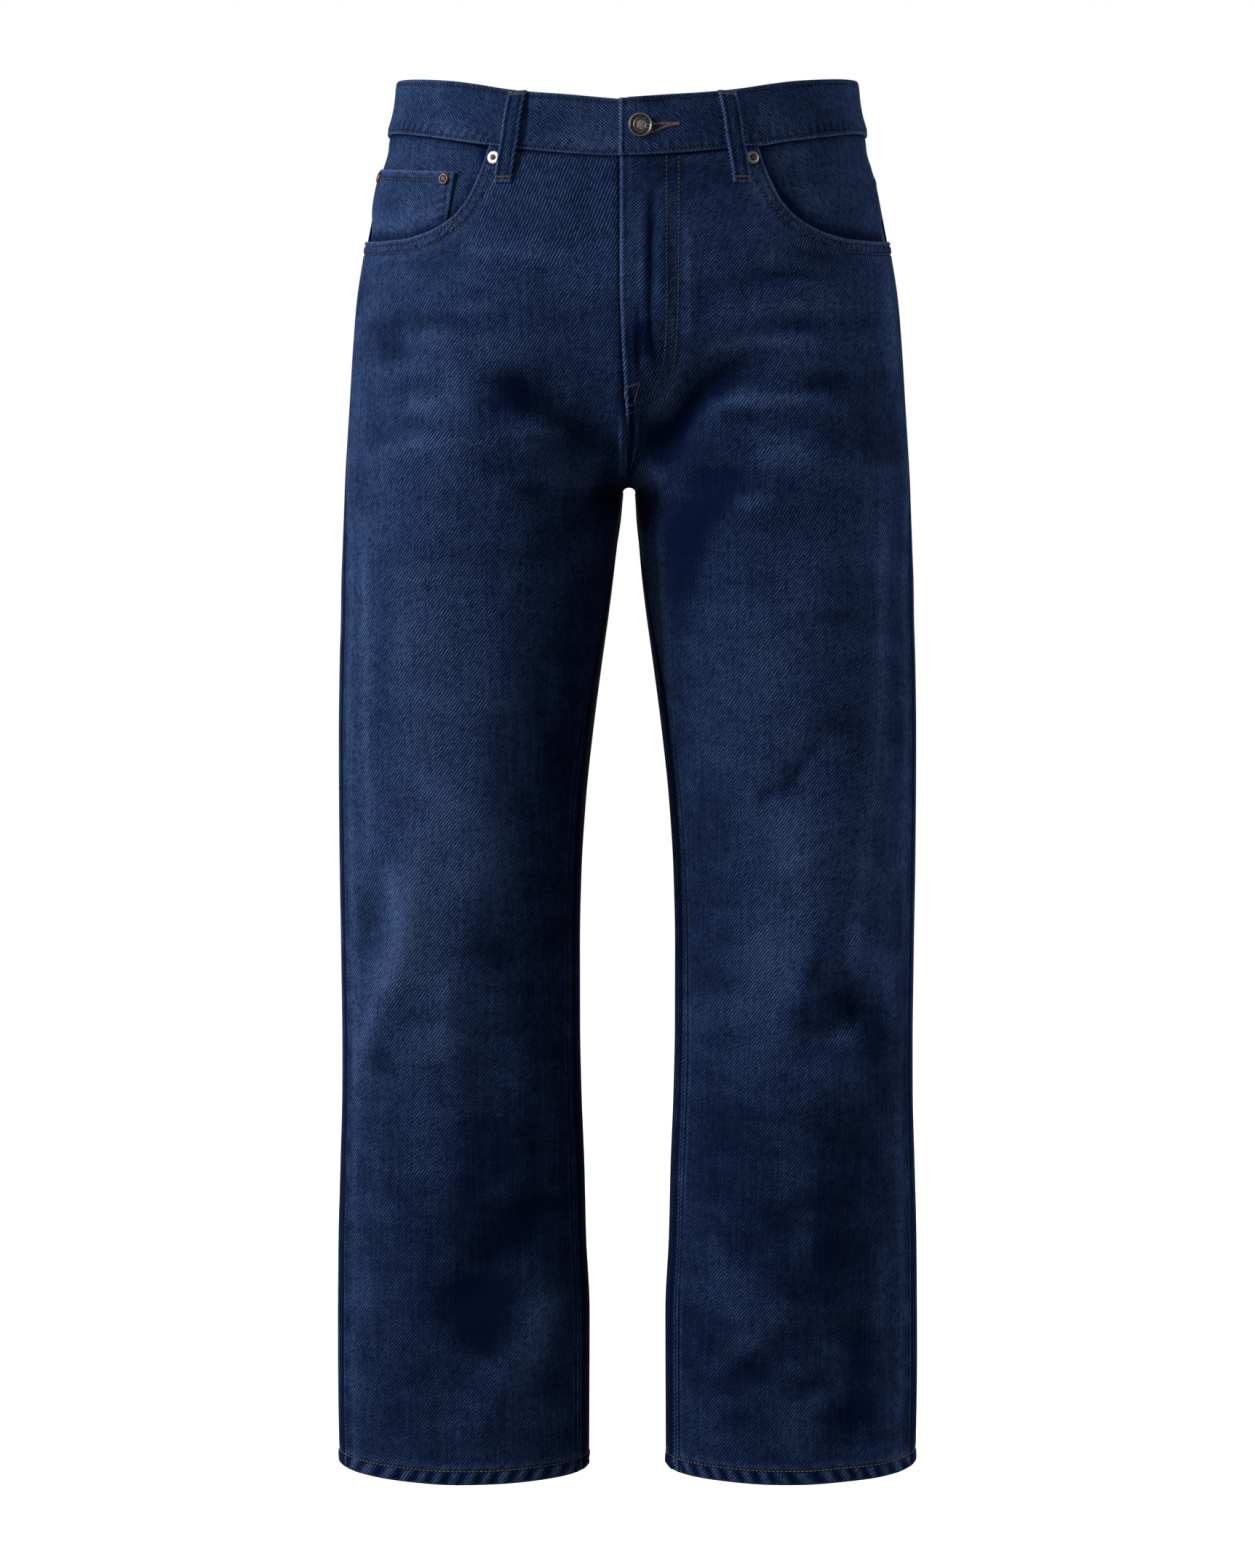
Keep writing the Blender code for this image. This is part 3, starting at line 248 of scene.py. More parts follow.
FRONT_FADES: Rows = (
    (-150, -330, -142, -450, -138, -590, 30, 0.34), (-120, -640, -140, -690, -150, -740, 26, 0.18),
    (-150, -130, -130, -180, -150, -250, 28, 0.16), (100, -140, 120, -180, 130, -230, 28, 0.12),
    (120, -300, 110, -430, 108, -560, 34, 0.22), (105, -570, 96, -630, 88, -690, 22, 0.24),
    (130, -655, 150, -664, 168, -668, 20, -0.12), (150, -730, 150, -800, 138, -880, 22, -0.14),
    (-57, -870, -68, -906, -80, -940, 13, 0.16), (-40, -330, -44, -500, -60, -700, 20, -0.24),
    # The row round the crotch darkens it partly as a fade and partly as painted shade where the cloth turns
    # under.
    (-20, -200, 0, -240, 10, -300, 34, -0.22), (60, -300, 60, -330, 60, -360, 26, -0.10),
    (-70, -720, -100, -800, -125, -880, 24, -0.16), (130, -700, 138, -716, 150, -726, 14, 0.10),
)
BACK_FADES: Rows = (
    (-110, -140, -120, -200, -104, -250, 40, 0.26), (110, -140, 120, -200, 104, -250, 40, 0.26),
    (-104, -430, -112, -500, -120, -580, 32, 0.16), (104, -430, 112, -500, 122, -580, 32, 0.16),
    (-124, -640, -124, -660, -120, -690, 26, 0.10), (124, -640, 124, -660, 120, -690, 26, 0.10),
    (-40, -330, -44, -500, -60, -700, 20, -0.2), (40, -330, 44, -500, 60, -700, 20, -0.2),
)
# Painted light and shade mixed with fades: lighter and darker strokes where light and shade fall on the
# front, such as the dark round the crotch, the lit patch beside it, shadows beside folds and highlights on
# their ridges.
FRONT_FADES_AND_PAINTED_LIGHT: Rows = (
    (6, -263, 14, -268, 26, -276, 6, 0.85), (-28, -280, -16, -285, -6, -292, 7, -0.50),
    (8, -284, 12, -292, 11, -308, 4, -0.60), (14, -245, 22, -239, 30, -231, 4, -0.40),
    (-5, -226, -5, -245, -4.4, -270, 1.0, 0.90), (-1, -212, -1, -240, -1, -272, 1.0, 0.70),
    (2, -212, 2, -240, 2.4, -272, 1.5, -0.55), (18, -287, 22, -370, 31, -455, 5, 0.62),
    (34, -330, 36, -400, 44, -480, 12, -0.20), (42, -285, 38, -330, 42, -365, 9, -0.34),
    (10, -56, 24, -52, 40, -50, 8, -0.20), (16, -232, 28, -224, 42, -205, 6, 0.30),
    (22, -258, 34, -240, 46, -214, 4, -0.25), (50, -205, 66, -196, 85, -188, 4, -0.20),
    (-98, -200, -80, -205, -66, -230, 7, -0.24), (-106, -212, -95, -210, -87, -213, 5, 0.20),
    (-130, -900, -112, -906, -92, -912, 12, -0.30), (78, -906, 86, -912, 96, -918, 9, 0.28),
    (-148, -540, -150, -580, -150, -630, 14, 0.14), (-90, -620, -84, -650, -80, -690, 14, -0.14),
    (42, -615, 58, -635, 76, -655, 10, -0.16), (200, -560, 203, -640, 204, -740, 3.5, -0.35),
    (158, -976, 172, -968, 188, -966, 9, -0.28), (188, -110, 193, -170, 198, -240, 4, 0.26),
    (86, -54, 93, -66, 98, -80, 6, 0.40), (-196, -150, -198, -200, -202, -260, 3, 0.14),
    (-4, -80, -3, -130, -2, -170, 4, 0.14), (60, -178, 90, -174, 130, -172, 4, 0.14),
    (50, -272, 70, -266, 92, -262, 4, -0.24), (12, -222, 24, -210, 36, -196, 7, 0.22),
    (84, -62, 94, -52, 112, -46, 6, 0.18), (-64, -256, -36, -266, -14, -262, 8, 0.22),
    (-100, -222, -84, -212, -72, -206, 10, -0.20), (150, -330, 160, -400, 164, -470, 12, -0.12),
    (18, -160, 10, -172, 6, -188, 7, -0.22), (8, -80, 12, -110, 13, -140, 4, 0.20),
    (26, -255, 46, -218, 95, -191, 5, -0.42), (14, -228, 34, -200, 90, -178, 8, 0.24),
    (34, -325, 50, -296, 82, -270, 10, -0.54), (60, -262, 100, -255, 130, -250, 8, 0.20),
    (-112, -226, -88, -214, -70, -204, 12, -0.30),
    (-62, -262, -40, -272, -18, -268, 9, 0.34), (-105, -268, -85, -268, -70, -266, 5, -0.28),
    (5, -162, 9, -175, 13, -187, 7, -0.30), (17, -60, 18, -90, 18, -150, 2.4, -0.28),
    (40, -85, 42, -110, 42, -140, 7, 0.14), (-20, -70, -16, -110, -12, -150, 8, 0.12),
    (-190, -290, -190, -430, -188, -560, 2.6, 0.30), (-178, -300, -176, -400, -174, -500, 7, -0.14),
    (184, -290, 183, -400, 181, -480, 3, 0.30), (181, -480, 172, -540, 166, -620, 4, 0.25),
    (194, -190, 198, -330, 197, -560, 6, -0.16), (-150, -556, -165, -615, -190, -655, 8, 0.34),
    (-190, -655, -197, -690, -200, -712, 4, 0.32), (-156, -590, -158, -615, -160, -640, 12, 0.16),
    (-125, -612, -105, -605, -85, -630, 12, -0.28), (-188, -680, -182, -700, -178, -714, 7, -0.26),
    (-130, -668, -134, -688, -140, -702, 8, 0.26), (-150, -725, -150, -760, -146, -792, 14, 0.18),
    (-205, -800, -186, -812, -168, -818, 8, 0.18), (-196, -845, -195, -880, -196, -905, 4, 0.26),
    (-112, -858, -104, -888, -120, -912, 21, -0.40), (-112, -780, -112, -795, -112, -812, 8, -0.26),
    (-66, -800, -74, -820, -88, -842, 10, -0.24), (-78, -918, -82, -940, -90, -960, 10, 0.16),
    (-58, -918, -57, -945, -60, -966, 7, -0.20), (148, -446, 128, -468, 118, -492, 7, 0.32),
    (120, -498, 114, -540, 120, -562, 16, 0.22), (126, -560, 108, -610, 100, -672, 14, 0.22),
    (143, -598, 138, -615, 130, -642, 6, -0.30), (128, -650, 121, -664, 114, -674, 9, -0.26),
    (169, -592, 165, -615, 160, -642, 6, 0.30), (180, -655, 190, -690, 192, -742, 10, -0.28),
    (148, -682, 158, -680, 168, -677, 6, 0.30), (60, -480, 58, -560, 64, -650, 14, -0.18),
    (80, -690, 100, -700, 110, -722, 12, 0.16), (125, -738, 125, -765, 128, -802, 16, 0.25),
    (133, -800, 131, -830, 128, -852, 6, 0.26), (122, -880, 106, -894, 90, -916, 10, 0.34),
    (88, -848, 80, -870, 68, -892, 14, 0.20), (160, -820, 150, -850, 142, -882, 10, -0.20),
    (78, -932, 95, -934, 114, -934, 6, -0.28), (150, -903, 158, -930, 150, -956, 8, 0.20),
    (138, -964, 126, -975, 114, -982, 12, 0.26), (175, -898, 176, -950, 172, -976, 6, -0.28),
    (191, -836, 190, -870, 188, -902, 4, 0.26), (188, -190, 182, -220, 184, -262, 14, -0.24),
    (108, -206, 140, -206, 172, -204, 6, -0.20), (100, -178, 122, -177, 152, -172, 4, 0.18),
    (78, -222, 100, -220, 132, -219, 4, 0.16), (84, -243, 110, -248, 136, -246, 9, 0.20),
    (108, -108, 140, -113, 172, -114, 4, -0.28), (110, -151, 140, -150, 172, -150, 3, 0.14),
    (-190, -160, -170, -175, -145, -186, 14, -0.16), (-190, -232, -175, -238, -150, -236, 8, -0.16),
    (-112, -178, -90, -190, -68, -181, 7, 0.16), (-160, -245, -122, -248, -90, -246, 5, 0.22),
    (-142, -274, -122, -263, -104, -262, 7, 0.16), (-78, -117, -55, -118, -34, -117, 4, 0.14),
    (-62, -298, -58, -320, -52, -336, 10, -0.20), (-92, -412, -86, -432, -84, -446, 12, 0.20),
    (-52, -402, -53, -425, -52, -448, 5, 0.36), (-76, -468, -60, -486, -50, -502, 12, 0.16),
    (-126, -462, -122, -478, -119, -492, 8, -0.20), (-86, -500, -78, -508, -72, -512, 8, -0.20),
    (-98, -518, -100, -535, -102, -556, 7, 0.22), (-61, -514, -56, -525, -52, -541, 7, 0.20),
    (-192, -504, -182, -525, -177, -541, 12, 0.12),
)
WASH_DOWN = Table(("z", "wash"), (
    (0, 0.41), (-100, 0.41), (-300, 0.38), (-600, 0.41), (-700, 0.34), (-780, 0.22), (-900, 0.20),
    (-1019, 0.27),
))
BAND_CREASES: Rows = (
    (84, 6, 108, -6, 160, 8, 4, -0.5), (96, -14, 120, -10, 150, -4, 3, 0.45),
    (-160, 2, -120, -4, -90, -3, 4, -0.45), (-60, -20, -45, -26, -30, -22, 4, -0.35),
    (40, -24, 48, -14, 54, -6, 3, 0.35), (120, 0, 140, 4, 160, 12, 3, 0.3),
    (-158, -8, -140, -12, -112, -12, 2.5, -0.4), (-150, -16, -128, -20, -106, -20, 2.5, 0.35),
    (10, -10, 20, -7, 32, -9, 2.5, -0.5),
)
# Painted light and shade mixed with fades on the band's front, such as the darker puckers above the button.
BAND_FADES_AND_PAINTED_LIGHT: Rows = (
    (-50, -34, -36, -38, -4, -38, 7, 0.26), (-136, -22, -118, -30, -100, -36, 7, 0.24),
    (90, -24, 108, -24, 120, -22, 5, 0.16),
    (8, -9, 18, -7, 30, -6, 4, -0.22), (126, -26, 142, -26, 160, -26, 6, -0.22),
    (100, -5, 130, 0, 160, 5, 18, -0.10), (-165, 0, -155, -10, -150, -20, 10, -0.08),
)
# Painted light and shade mixed with fades on the facings; the darkest strokes, close inside the pocket's
# edge, are painted shadow.
FACING_FADES_AND_PAINTED_LIGHT: Rows = (
    (94, -52, 110, -44, 134, -44, 7, 0.34), (116, -62, 128, -72, 142, -80, 7, 0.24),
    (100, -74, 106, -84, 116, -92, 4, -0.50), (108, -70, 114, -75, 121, -80, 4, -0.34),
    (-170, -58, -172, -75, -172, -92, 8, -0.25),
    (-110, -44, -106, -56, -102, -68, 5, 0.34), (-132, -62, -122, -68, -112, -82, 7, 0.22),
)


# ---------------------------------------------------------------- small sums

def side_word(side: int) -> str:
    """A side's name, as the nodes have it."""
    return "left" if side == LEFT else "right"


def runs_right(face: Face, side: int) -> bool:
    """Whether places from the centre seam outwards run to the right, seen from outside."""
    return side * face.value < 0


def ease(share: Array | float) -> Array:
    """A soft step from 0 to 1."""
    share = np.clip(share, 0.0, 1.0)
    return share * share * (3.0 - 2.0 * share)


def bump(distance: Array, centre: float, spread: float) -> Array:
    """A soft ridge of height 1 at one distance."""
    return np.exp(-0.5 * ((distance - centre) / spread) ** 2)


def strokes(rows: Rows, x: Array, z: Array, end: float) -> Array:
    """The sum of soft lines over a face.

    Args:
        rows: the lines.
        x, z: where to read them.
        end: share of a line's strength left at its ends.

    Returns:
        The sum at each place.
    """
    total = np.zeros(np.broadcast(x, z).shape)
    for ax, az, bx, bz, cx, cz, spread, strength in rows:
        nearest = np.full(total.shape, np.inf)
        along = np.zeros(total.shape)
        length = math.hypot(bx - ax, bz - az) + math.hypot(cx - bx, cz - bz)
        travelled = 0.0
        for px, pz, qx, qz in ((ax, az, bx, bz), (bx, bz, cx, cz)):
            step = math.hypot(qx - px, qz - pz)
            share = np.clip(((x - px) * (qx - px) + (z - pz) * (qz - pz)) / step ** 2, 0.0, 1.0)
            gap = np.hypot(x - px - (qx - px) * share, z - pz - (qz - pz) * share)
            along = np.where(gap < nearest, (travelled + share * step) / length, along)
            nearest = np.minimum(nearest, gap)
            travelled += step
        taper = end + (1.0 - end) * np.sqrt(np.clip(np.sin(math.pi * along), 0.0, 1.0))
        total += strength * taper * np.exp(-0.5 * (nearest / spread) ** 2)
    return total


def drift(x: Array, z: Array, scale: float, seed: float) -> Array:
    """Slow uneven waves between -1 and 1, for cloth that is never quite even."""
    a = np.sin(x / scale * 1.9 + 1.7 * np.sin(z / scale * 0.8 + seed) + seed)
    b = np.sin(z / scale * 1.3 - 1.3 * np.sin(x / scale * 1.1 + 2.0 * seed) + 3.1 * seed)
    return 0.5 * (a + b)


def rounded(angle: Array, half: Array, front: Array, back: Array,
            power: Array | float) -> tuple[Array, Array]:
    """A place on a ring, from its angle: 0 in front, 90 at the side, 180 behind."""
    across = np.sin(np.radians(angle))
    reach = np.clip(1.0 - np.abs(across) ** power, 0.0, None) ** (1.0 / power)
    ahead = np.cos(np.radians(angle)) > 0.0
    return half * across, np.where(ahead, -front * reach, back * reach)


def band_top(face: Face, place: Array | float) -> Array:
    """Height of the waistband's top edge."""
    return (BAND_TOP_FRONT if face is Face.FRONT else BAND_TOP_BACK).read("z", place)


def waist_seam(face: Face, place: Array | float) -> Array:
    """Height of the seam under the waistband."""
    if face is Face.FRONT:
        return WAIST_FRONT_Z + WAIST_RISE * np.sin(0.5 * math.pi * np.clip(place, 0.0, 1.0)) ** WAIST_BEND
    return band_top(face, place) - BAND_HEIGHT


# ---------------------------------------------------------------- the worn form

class WornForm:
    """The garment's outer face: rings round the hips that part into rings round each leg."""

    @staticmethod
    def centre_angle(face: Face, side: int, z: Array) -> Array:
        """The angle of the seam down the middle, seen from one side of the body."""
        if face is Face.BACK:
            return np.full(np.shape(z), 180.0)
        shift = FLY_SHIFT * ease((z - CROTCH_Z - FLY_CLEAR) / FLY_EASE)
        return -side * np.degrees(np.arcsin(shift / HIPS.read("half_width", z)))

    @staticmethod
    def leg_angle(face: Face, place: Array, z: Array) -> Array:
        """The angle round a leg: -90 at its inner edge, 90 at its outer edge."""
        inseam = -90.0 + SEAM_LEANS.read("inseam", z)
        side_seam = 90.0 - SEAM_LEANS.read("side", z)
        turn = side_seam - inseam - (0.0 if face is Face.FRONT else 360.0)
        return inseam + turn * place

    def hip_place(self, face: Face, side: int, place: Array, z: Array) -> tuple[Array, Array]:
        """A place on the ring round the hips; near the crotch its points close up to the leg's."""
        side_seam = 90.0 - SEAM_LEANS.read("side", z)
        centre = self.centre_angle(face, side, z)
        spread = centre + (side_seam - centre) * place
        round_leg = np.radians(self.leg_angle(face, place, z))
        above_leg = np.degrees(np.arcsin(np.clip(0.5 + 0.5 * np.sin(round_leg), -1.0, 1.0)))
        if face is Face.BACK:
            above_leg = np.where(np.cos(round_leg) < 1e-9, 180.0 - above_leg, above_leg)
        close_up = ease((CROTCH_Z + CLOSE_UP - z) / CLOSE_UP)
        angle = spread + (above_leg - spread) * close_up
        half, front, back = (HIPS.read(column, z) for column in HIPS.columns[1:])
        return rounded(angle, half, front, back, ROUNDNESS)

    def leg_place(self, face: Face, place: Array, z: Array) -> tuple[Array, Array]:
        """A place on the ring round a leg, counted from its inseam."""
        inner, outer, front, back = (LEG.read(column, z) for column in LEG.columns[1:])
        middle = LEG_MIDDLE.read("y", z)
        share = ease((CROTCH_Z - z) / (CROTCH_Z - HEM_Z))
        power = ROUNDNESS + (HEM_ROUNDNESS - ROUNDNESS) * share
        angle = self.leg_angle(face, place, z)
        x, y = rounded(angle, (outer - inner) / 2, middle - front, back - middle, power)
        below = np.clip((CROTCH_Z - z) / CROTCH_CURVE, 0.0, 1.0)
        arch = inner * np.sqrt(1.0 - (1.0 - below) ** 2)
        felt = np.exp(-(place / ARCH_REACH) ** 2)
        x = x - np.where(z > CROTCH_Z - CROTCH_CURVE, (inner - arch) * felt, 0.0)
        return (inner + outer) / 2 + x, middle + y

    @staticmethod
    def parting(face: Face, place: Array, z: Array) -> Array:
        """How far the hips have parted into a leg: 0 above the rise, 1 below the crotch."""
        rise = FRONT_RISE if face is Face.FRONT else BACK_RISE
        down = np.clip((CROTCH_Z + rise - z) / rise, 0.0, 1.0)
        softness = (place / SOFT_PLACE) ** 2
        full = np.sqrt(1.0 + softness ** 2) - softness
        at_centre = 1.0 - (np.sqrt(1.0 - down * down + softness ** 2) - softness) / full
        at_side = ease((CROTCH_Z + BACK_RISE - z) / BACK_RISE)
        return at_centre + (at_side - at_centre) * ease(place / SIDE_PLACE)

    def smooth(self, face: Face, side: int, place: Array, z: Array) -> Array:
        """Places on the form without folds, as (..., 3) in millimetres."""
        share = self.parting(face, place, z)
        hip_x, hip_y = self.hip_place(face, side, place, z)
        leg_x, leg_y = self.leg_place(face, place, z)
        x, y = hip_x + (leg_x - hip_x) * share, hip_y + (leg_y - hip_y) * share
        lean = CROTCH_SHIFT * bump(z, CROTCH_Z, 30.0) * np.exp(-(place / SOFT_PLACE) ** 2)
        return np.stack(np.broadcast_arrays(side * x + lean, y, z), axis=-1)

    def creases(self, face: Face, x: Array, z: Array) -> Array:
        """Height of the fine creases alone."""
        rows = FRONT_CREASES if face is Face.FRONT else BACK_CREASES
        return strokes(rows, x, z, 0.0)

    def place(self, face: Face, side: int, place: Array, z: Array) -> Array:
        """Places on the form with all their folds."""
        spots = self.smooth(face, side, place, z)
        x, height = spots[..., 0], spots[..., 2]
        rows = FRONT_FOLDS if face is Face.FRONT else BACK_FOLDS
        folds = FOLD_GAIN * strokes(rows, x, height, FOLD_END) + CREASE_GAIN * self.creases(face, x, height)
        folds = folds + 0.55 * drift(x, height, 34.0, 1.0 + side) + 0.3 * drift(x, height, 15.0, 4.0 - side)
        folds = folds * ease(place / FOLD_FADE) * ease((1.0 - place) / FOLD_FADE)
        spots[..., 1] += face.value * folds
        return spots

    def surface(self, face: Face, side: int, place: Array, z: Array) -> tuple[Array, Array]:
        """Places on the form and their outward normals.

        Args:
            face, side: which panel of the body.
            place: 0 at the centre seam to 1 at the side seam.
            z: heights.

        Returns:
            The places and unit normals, in millimetres.
        """
        place, z = np.broadcast_arrays(np.asarray(place, float), np.asarray(z, float))
        centre = (place < 0.006) & (z > CROTCH_Z)
        across = (self.place(face, side, place + np.where(centre, 0.05, 0.005), z)
                  - self.place(face, side, place - np.where(centre, 0.0, 0.005), z))
        down = self.place(face, side, place, z - 0.8) - self.place(face, side, place, z + 0.8)
        normal = np.cross(down, across) * side * -face.value
        return self.place(face, side, place, z), normal / np.linalg.norm(normal, axis=-1, keepdims=True)

    def along(self, face: Face, side: int, z: float) -> tuple[Array, Array]:
        """The run of places at one height and the distance along the cloth to each from the centre seam."""
        places = np.linspace(0.0, 1.0, 160)
        spots = self.place(face, side, places, np.full(places.shape, z))
        steps = np.linalg.norm(np.diff(spots, axis=0), axis=-1)
        return places, np.concatenate(([0.0], np.cumsum(steps)))


FORM = WornForm()


def edge_gaps(points: Array) -> dict[str, Array]:
    """Distances along the cloth from each place of a grid to the grid's four edges."""
    rows = np.linalg.norm(np.diff(points, axis=1), axis=-1)
    columns = np.linalg.norm(np.diff(points, axis=0), axis=-1)
    first = np.concatenate([np.zeros((points.shape[0], 1)), np.cumsum(rows, axis=1)], axis=1)
    top = np.concatenate([np.zeros((1, points.shape[1])), np.cumsum(columns, axis=0)], axis=0)
    return {"first": first, "last": first[:, -1:] - first, "top": top, "bottom": top[-1:] - top}


def path_gap(points: Array, path: Array) -> tuple[Array, Array]:
    """Distance from each place of a grid to a path, and how far along the path its nearest point lies."""
    run = np.concatenate(([0.0], np.cumsum(np.linalg.norm(np.diff(path, axis=0), axis=-1))))
    gap, where = np.full(points.shape[:-1], np.inf), np.zeros(points.shape[:-1])
    for spot, travelled in zip(path, run):
        away = np.linalg.norm(points - spot, axis=-1)
        where = np.where(away < gap, travelled, where)
        gap = np.minimum(gap, away)
    return gap, where


# ---------------------------------------------------------------- materials

def add_object(name: str, data: bpy.types.ID) -> bpy.types.Object:
    """A new object with its data, linked to the scene."""
    item = bpy.data.objects.new(name, data)
    bpy.context.scene.collection.objects.link(item)
    return item


class GraphKit:
    """Short ways to add nodes to one node tree."""

    def __init__(self, tree: bpy.types.NodeTree) -> None:
        """Keep the tree that the nodes go into."""
        self.tree = tree

    def node(self, kind: str, inputs: dict | None = None, **options) -> bpy.types.Node:
        """Add a node.

        Args:
            kind: the node's type name.
            inputs: values or sockets by input name or index.
            options: the node's own settings.

        Returns:
            The node.
        """
        node = self.tree.nodes.new(kind)
        for name, value in options.items():
            setattr(node, name, value)
        self.feed(node, inputs or {})
        return node

    def feed(self, node: bpy.types.Node, inputs: dict) -> None:
        """Set or link a node's inputs, by name or index."""
        for key, value in inputs.items():
            if isinstance(value, bpy.types.NodeSocket):
                self.tree.links.new(value, node.inputs[key])
            else:
                node.inputs[key].default_value = value

    def sum(self, operation: str, *values) -> bpy.types.NodeSocket:
        """A Math node's result."""
        return self.node("ShaderNodeMath", dict(enumerate(values)), operation=operation).outputs[0]

    def blend(self, factor, first, second) -> bpy.types.NodeSocket:
        """A colour between two others."""
        node = self.node("ShaderNodeMix", {"Factor": factor}, data_type="RGBA")
        self.feed(node, {6: first, 7: second})
        return node.outputs[2]

    def noise(self, vector, scale: float, detail: float = 2.0) -> bpy.types.NodeSocket:
        """A noise texture's value."""
        settings = {"Vector": vector, "Scale": scale, "Detail": detail}
        return self.node("ShaderNodeTexNoise", settings).outputs["Fac"]

    def stretch(self, vector, scale: tuple[float, float, float]) -> bpy.types.NodeSocket:
        """A vector scaled along its axes."""
        node = self.node("ShaderNodeVectorMath", {0: vector, 1: scale}, operation="MULTIPLY")
        return node.outputs[0]

    def levels(self, value, low: float, high: float) -> bpy.types.NodeSocket:
        """A value drawn out to 0 at low and 1 at high, with soft ends."""
        settings = {"Value": value, "From Min": low, "From Max": high}
        return self.node("ShaderNodeMapRange", settings, interpolation_type="SMOOTHSTEP").outputs["Result"]

    def layer(self, name: str) -> bpy.types.NodeSocket:
        """A value kept on the mesh's points."""
        return self.node("ShaderNodeAttribute", attribute_name=name).outputs["Fac"]

    def bumped(self, height, distance: float, strength: float) -> bpy.types.NodeSocket:
        """A normal tilted by a height, as if it were that many metres high."""
        settings = {"Height": height, "Distance": distance, "Strength": strength}
        return self.node("ShaderNodeBump", settings).outputs[0]


def fresh_material(name: str) -> tuple[bpy.types.Material, GraphKit, bpy.types.Node]:
    material = bpy.data.materials.new(name)
    material.use_nodes = True
    return material, GraphKit(material.node_tree), material.node_tree.nodes["Principled BSDF"]


def weave_group() -> bpy.types.ShaderNodeTree:
    """The twill weave: one group for every cloth, with its colours and its slant as inputs."""
    name = "denim_weave"
    if name in bpy.data.node_groups:
        return bpy.data.node_groups[name]
    tree = bpy.data.node_groups.new(name, "ShaderNodeTree")
    face = tree.interface
    for way, kind, titles in (("INPUT", "Vector", ("Grain",)),
                              ("INPUT", "Float", ("Wash", "Rub", "Slant", "Pitch", "Contrast")),
                              ("INPUT", "Color", ("Deep", "Body", "Faded")),
                              ("OUTPUT", "Color", ("Colour",)),
                              ("OUTPUT", "Float", ("Roughness", "Height"))):
        for title in titles:
            face.new_socket(title, in_out=way, socket_type=f"NodeSocket{kind}")
    kit = GraphKit(tree)
    given = kit.node("NodeGroupInput").outputs
    turn = kit.sum("MULTIPLY", given["Slant"], -1.0)
    turned = kit.node("ShaderNodeVectorRotate", {"Vector": given["Grain"], "Angle": turn},
                      rotation_type="Z_AXIS").outputs[0]
    parts = kit.node("ShaderNodeSeparateXYZ", {0: turned}).outputs
    wander = kit.sum("MULTIPLY", kit.noise(given["Grain"], 60.0, 1.0), 0.0016)
    across = kit.sum("ADD", parts[1], wander)
    phase = kit.sum("MULTIPLY", kit.sum("DIVIDE", across, given["Pitch"]), 2.0 * math.pi)
    wave = kit.sum("MULTIPLY_ADD", kit.sum("SINE", phase), 0.5, 0.5)
    dashes = kit.noise(kit.stretch(turned, (240.0, 900.0, 1.0)), 1.0, 2.0)
    dashes = kit.levels(dashes, 0.28, 0.72)
    thread = kit.sum("MULTIPLY", kit.levels(wave, 0.38, 0.92), kit.sum("MULTIPLY_ADD", dashes, 1.25, 0.1))
    slub = kit.levels(kit.noise(kit.stretch(given["Grain"], (760.0, 16.0, 1.0)), 1.0, 2.0), 0.3, 0.7)
    weft = kit.noise(kit.stretch(given["Grain"], (24.0, 640.0, 1.0)), 1.0, 1.0)
    cloud = kit.noise(given["Grain"], 26.0, 3.0)
    mottle = kit.noise(given["Grain"], 110.0, 3.0)
    blotch = kit.noise(kit.stretch(given["Grain"], (13.0, 48.0, 1.0)), 1.0, 3.0)
    # The tone sums how far the cloth is washed out and rubbed with the painted highlights and painted shade
    # that the same two attributes carry.
    tone = kit.sum("MULTIPLY_ADD", given["Rub"], 1.6, given["Wash"])
    for pattern, amount in ((slub, 0.18), (weft, 0.06), (cloud, 0.50), (mottle, 0.34), (blotch, 0.42)):
        tone = kit.sum("ADD", tone, kit.sum("MULTIPLY", kit.sum("SUBTRACT", pattern, 0.5), amount))
    ground = kit.blend(kit.levels(tone, 0.0, 0.55), given["Deep"], given["Body"])
    ground = kit.blend(kit.levels(tone, 0.40, 1.60), ground, given["Faded"])
    lit = kit.blend(kit.levels(tone, -0.30, 1.3), ground, (0.078, 0.138, 0.300, 1.0))
    shade = kit.blend(0.74, ground, (0.0008, 0.0032, 0.0150, 1.0))
    plain = kit.blend(0.3, shade, lit)
    woven = kit.blend(thread, shade, lit)
    colour = kit.blend(given["Contrast"], plain, woven)
    height = kit.sum("ADD", thread, kit.sum("MULTIPLY", slub, 0.25))
    roughness = kit.sum("MULTIPLY_ADD", dashes, -0.10, 0.92)
    kit.node("NodeGroupOutput", {"Colour": colour, "Roughness": roughness, "Height": height})
    return tree


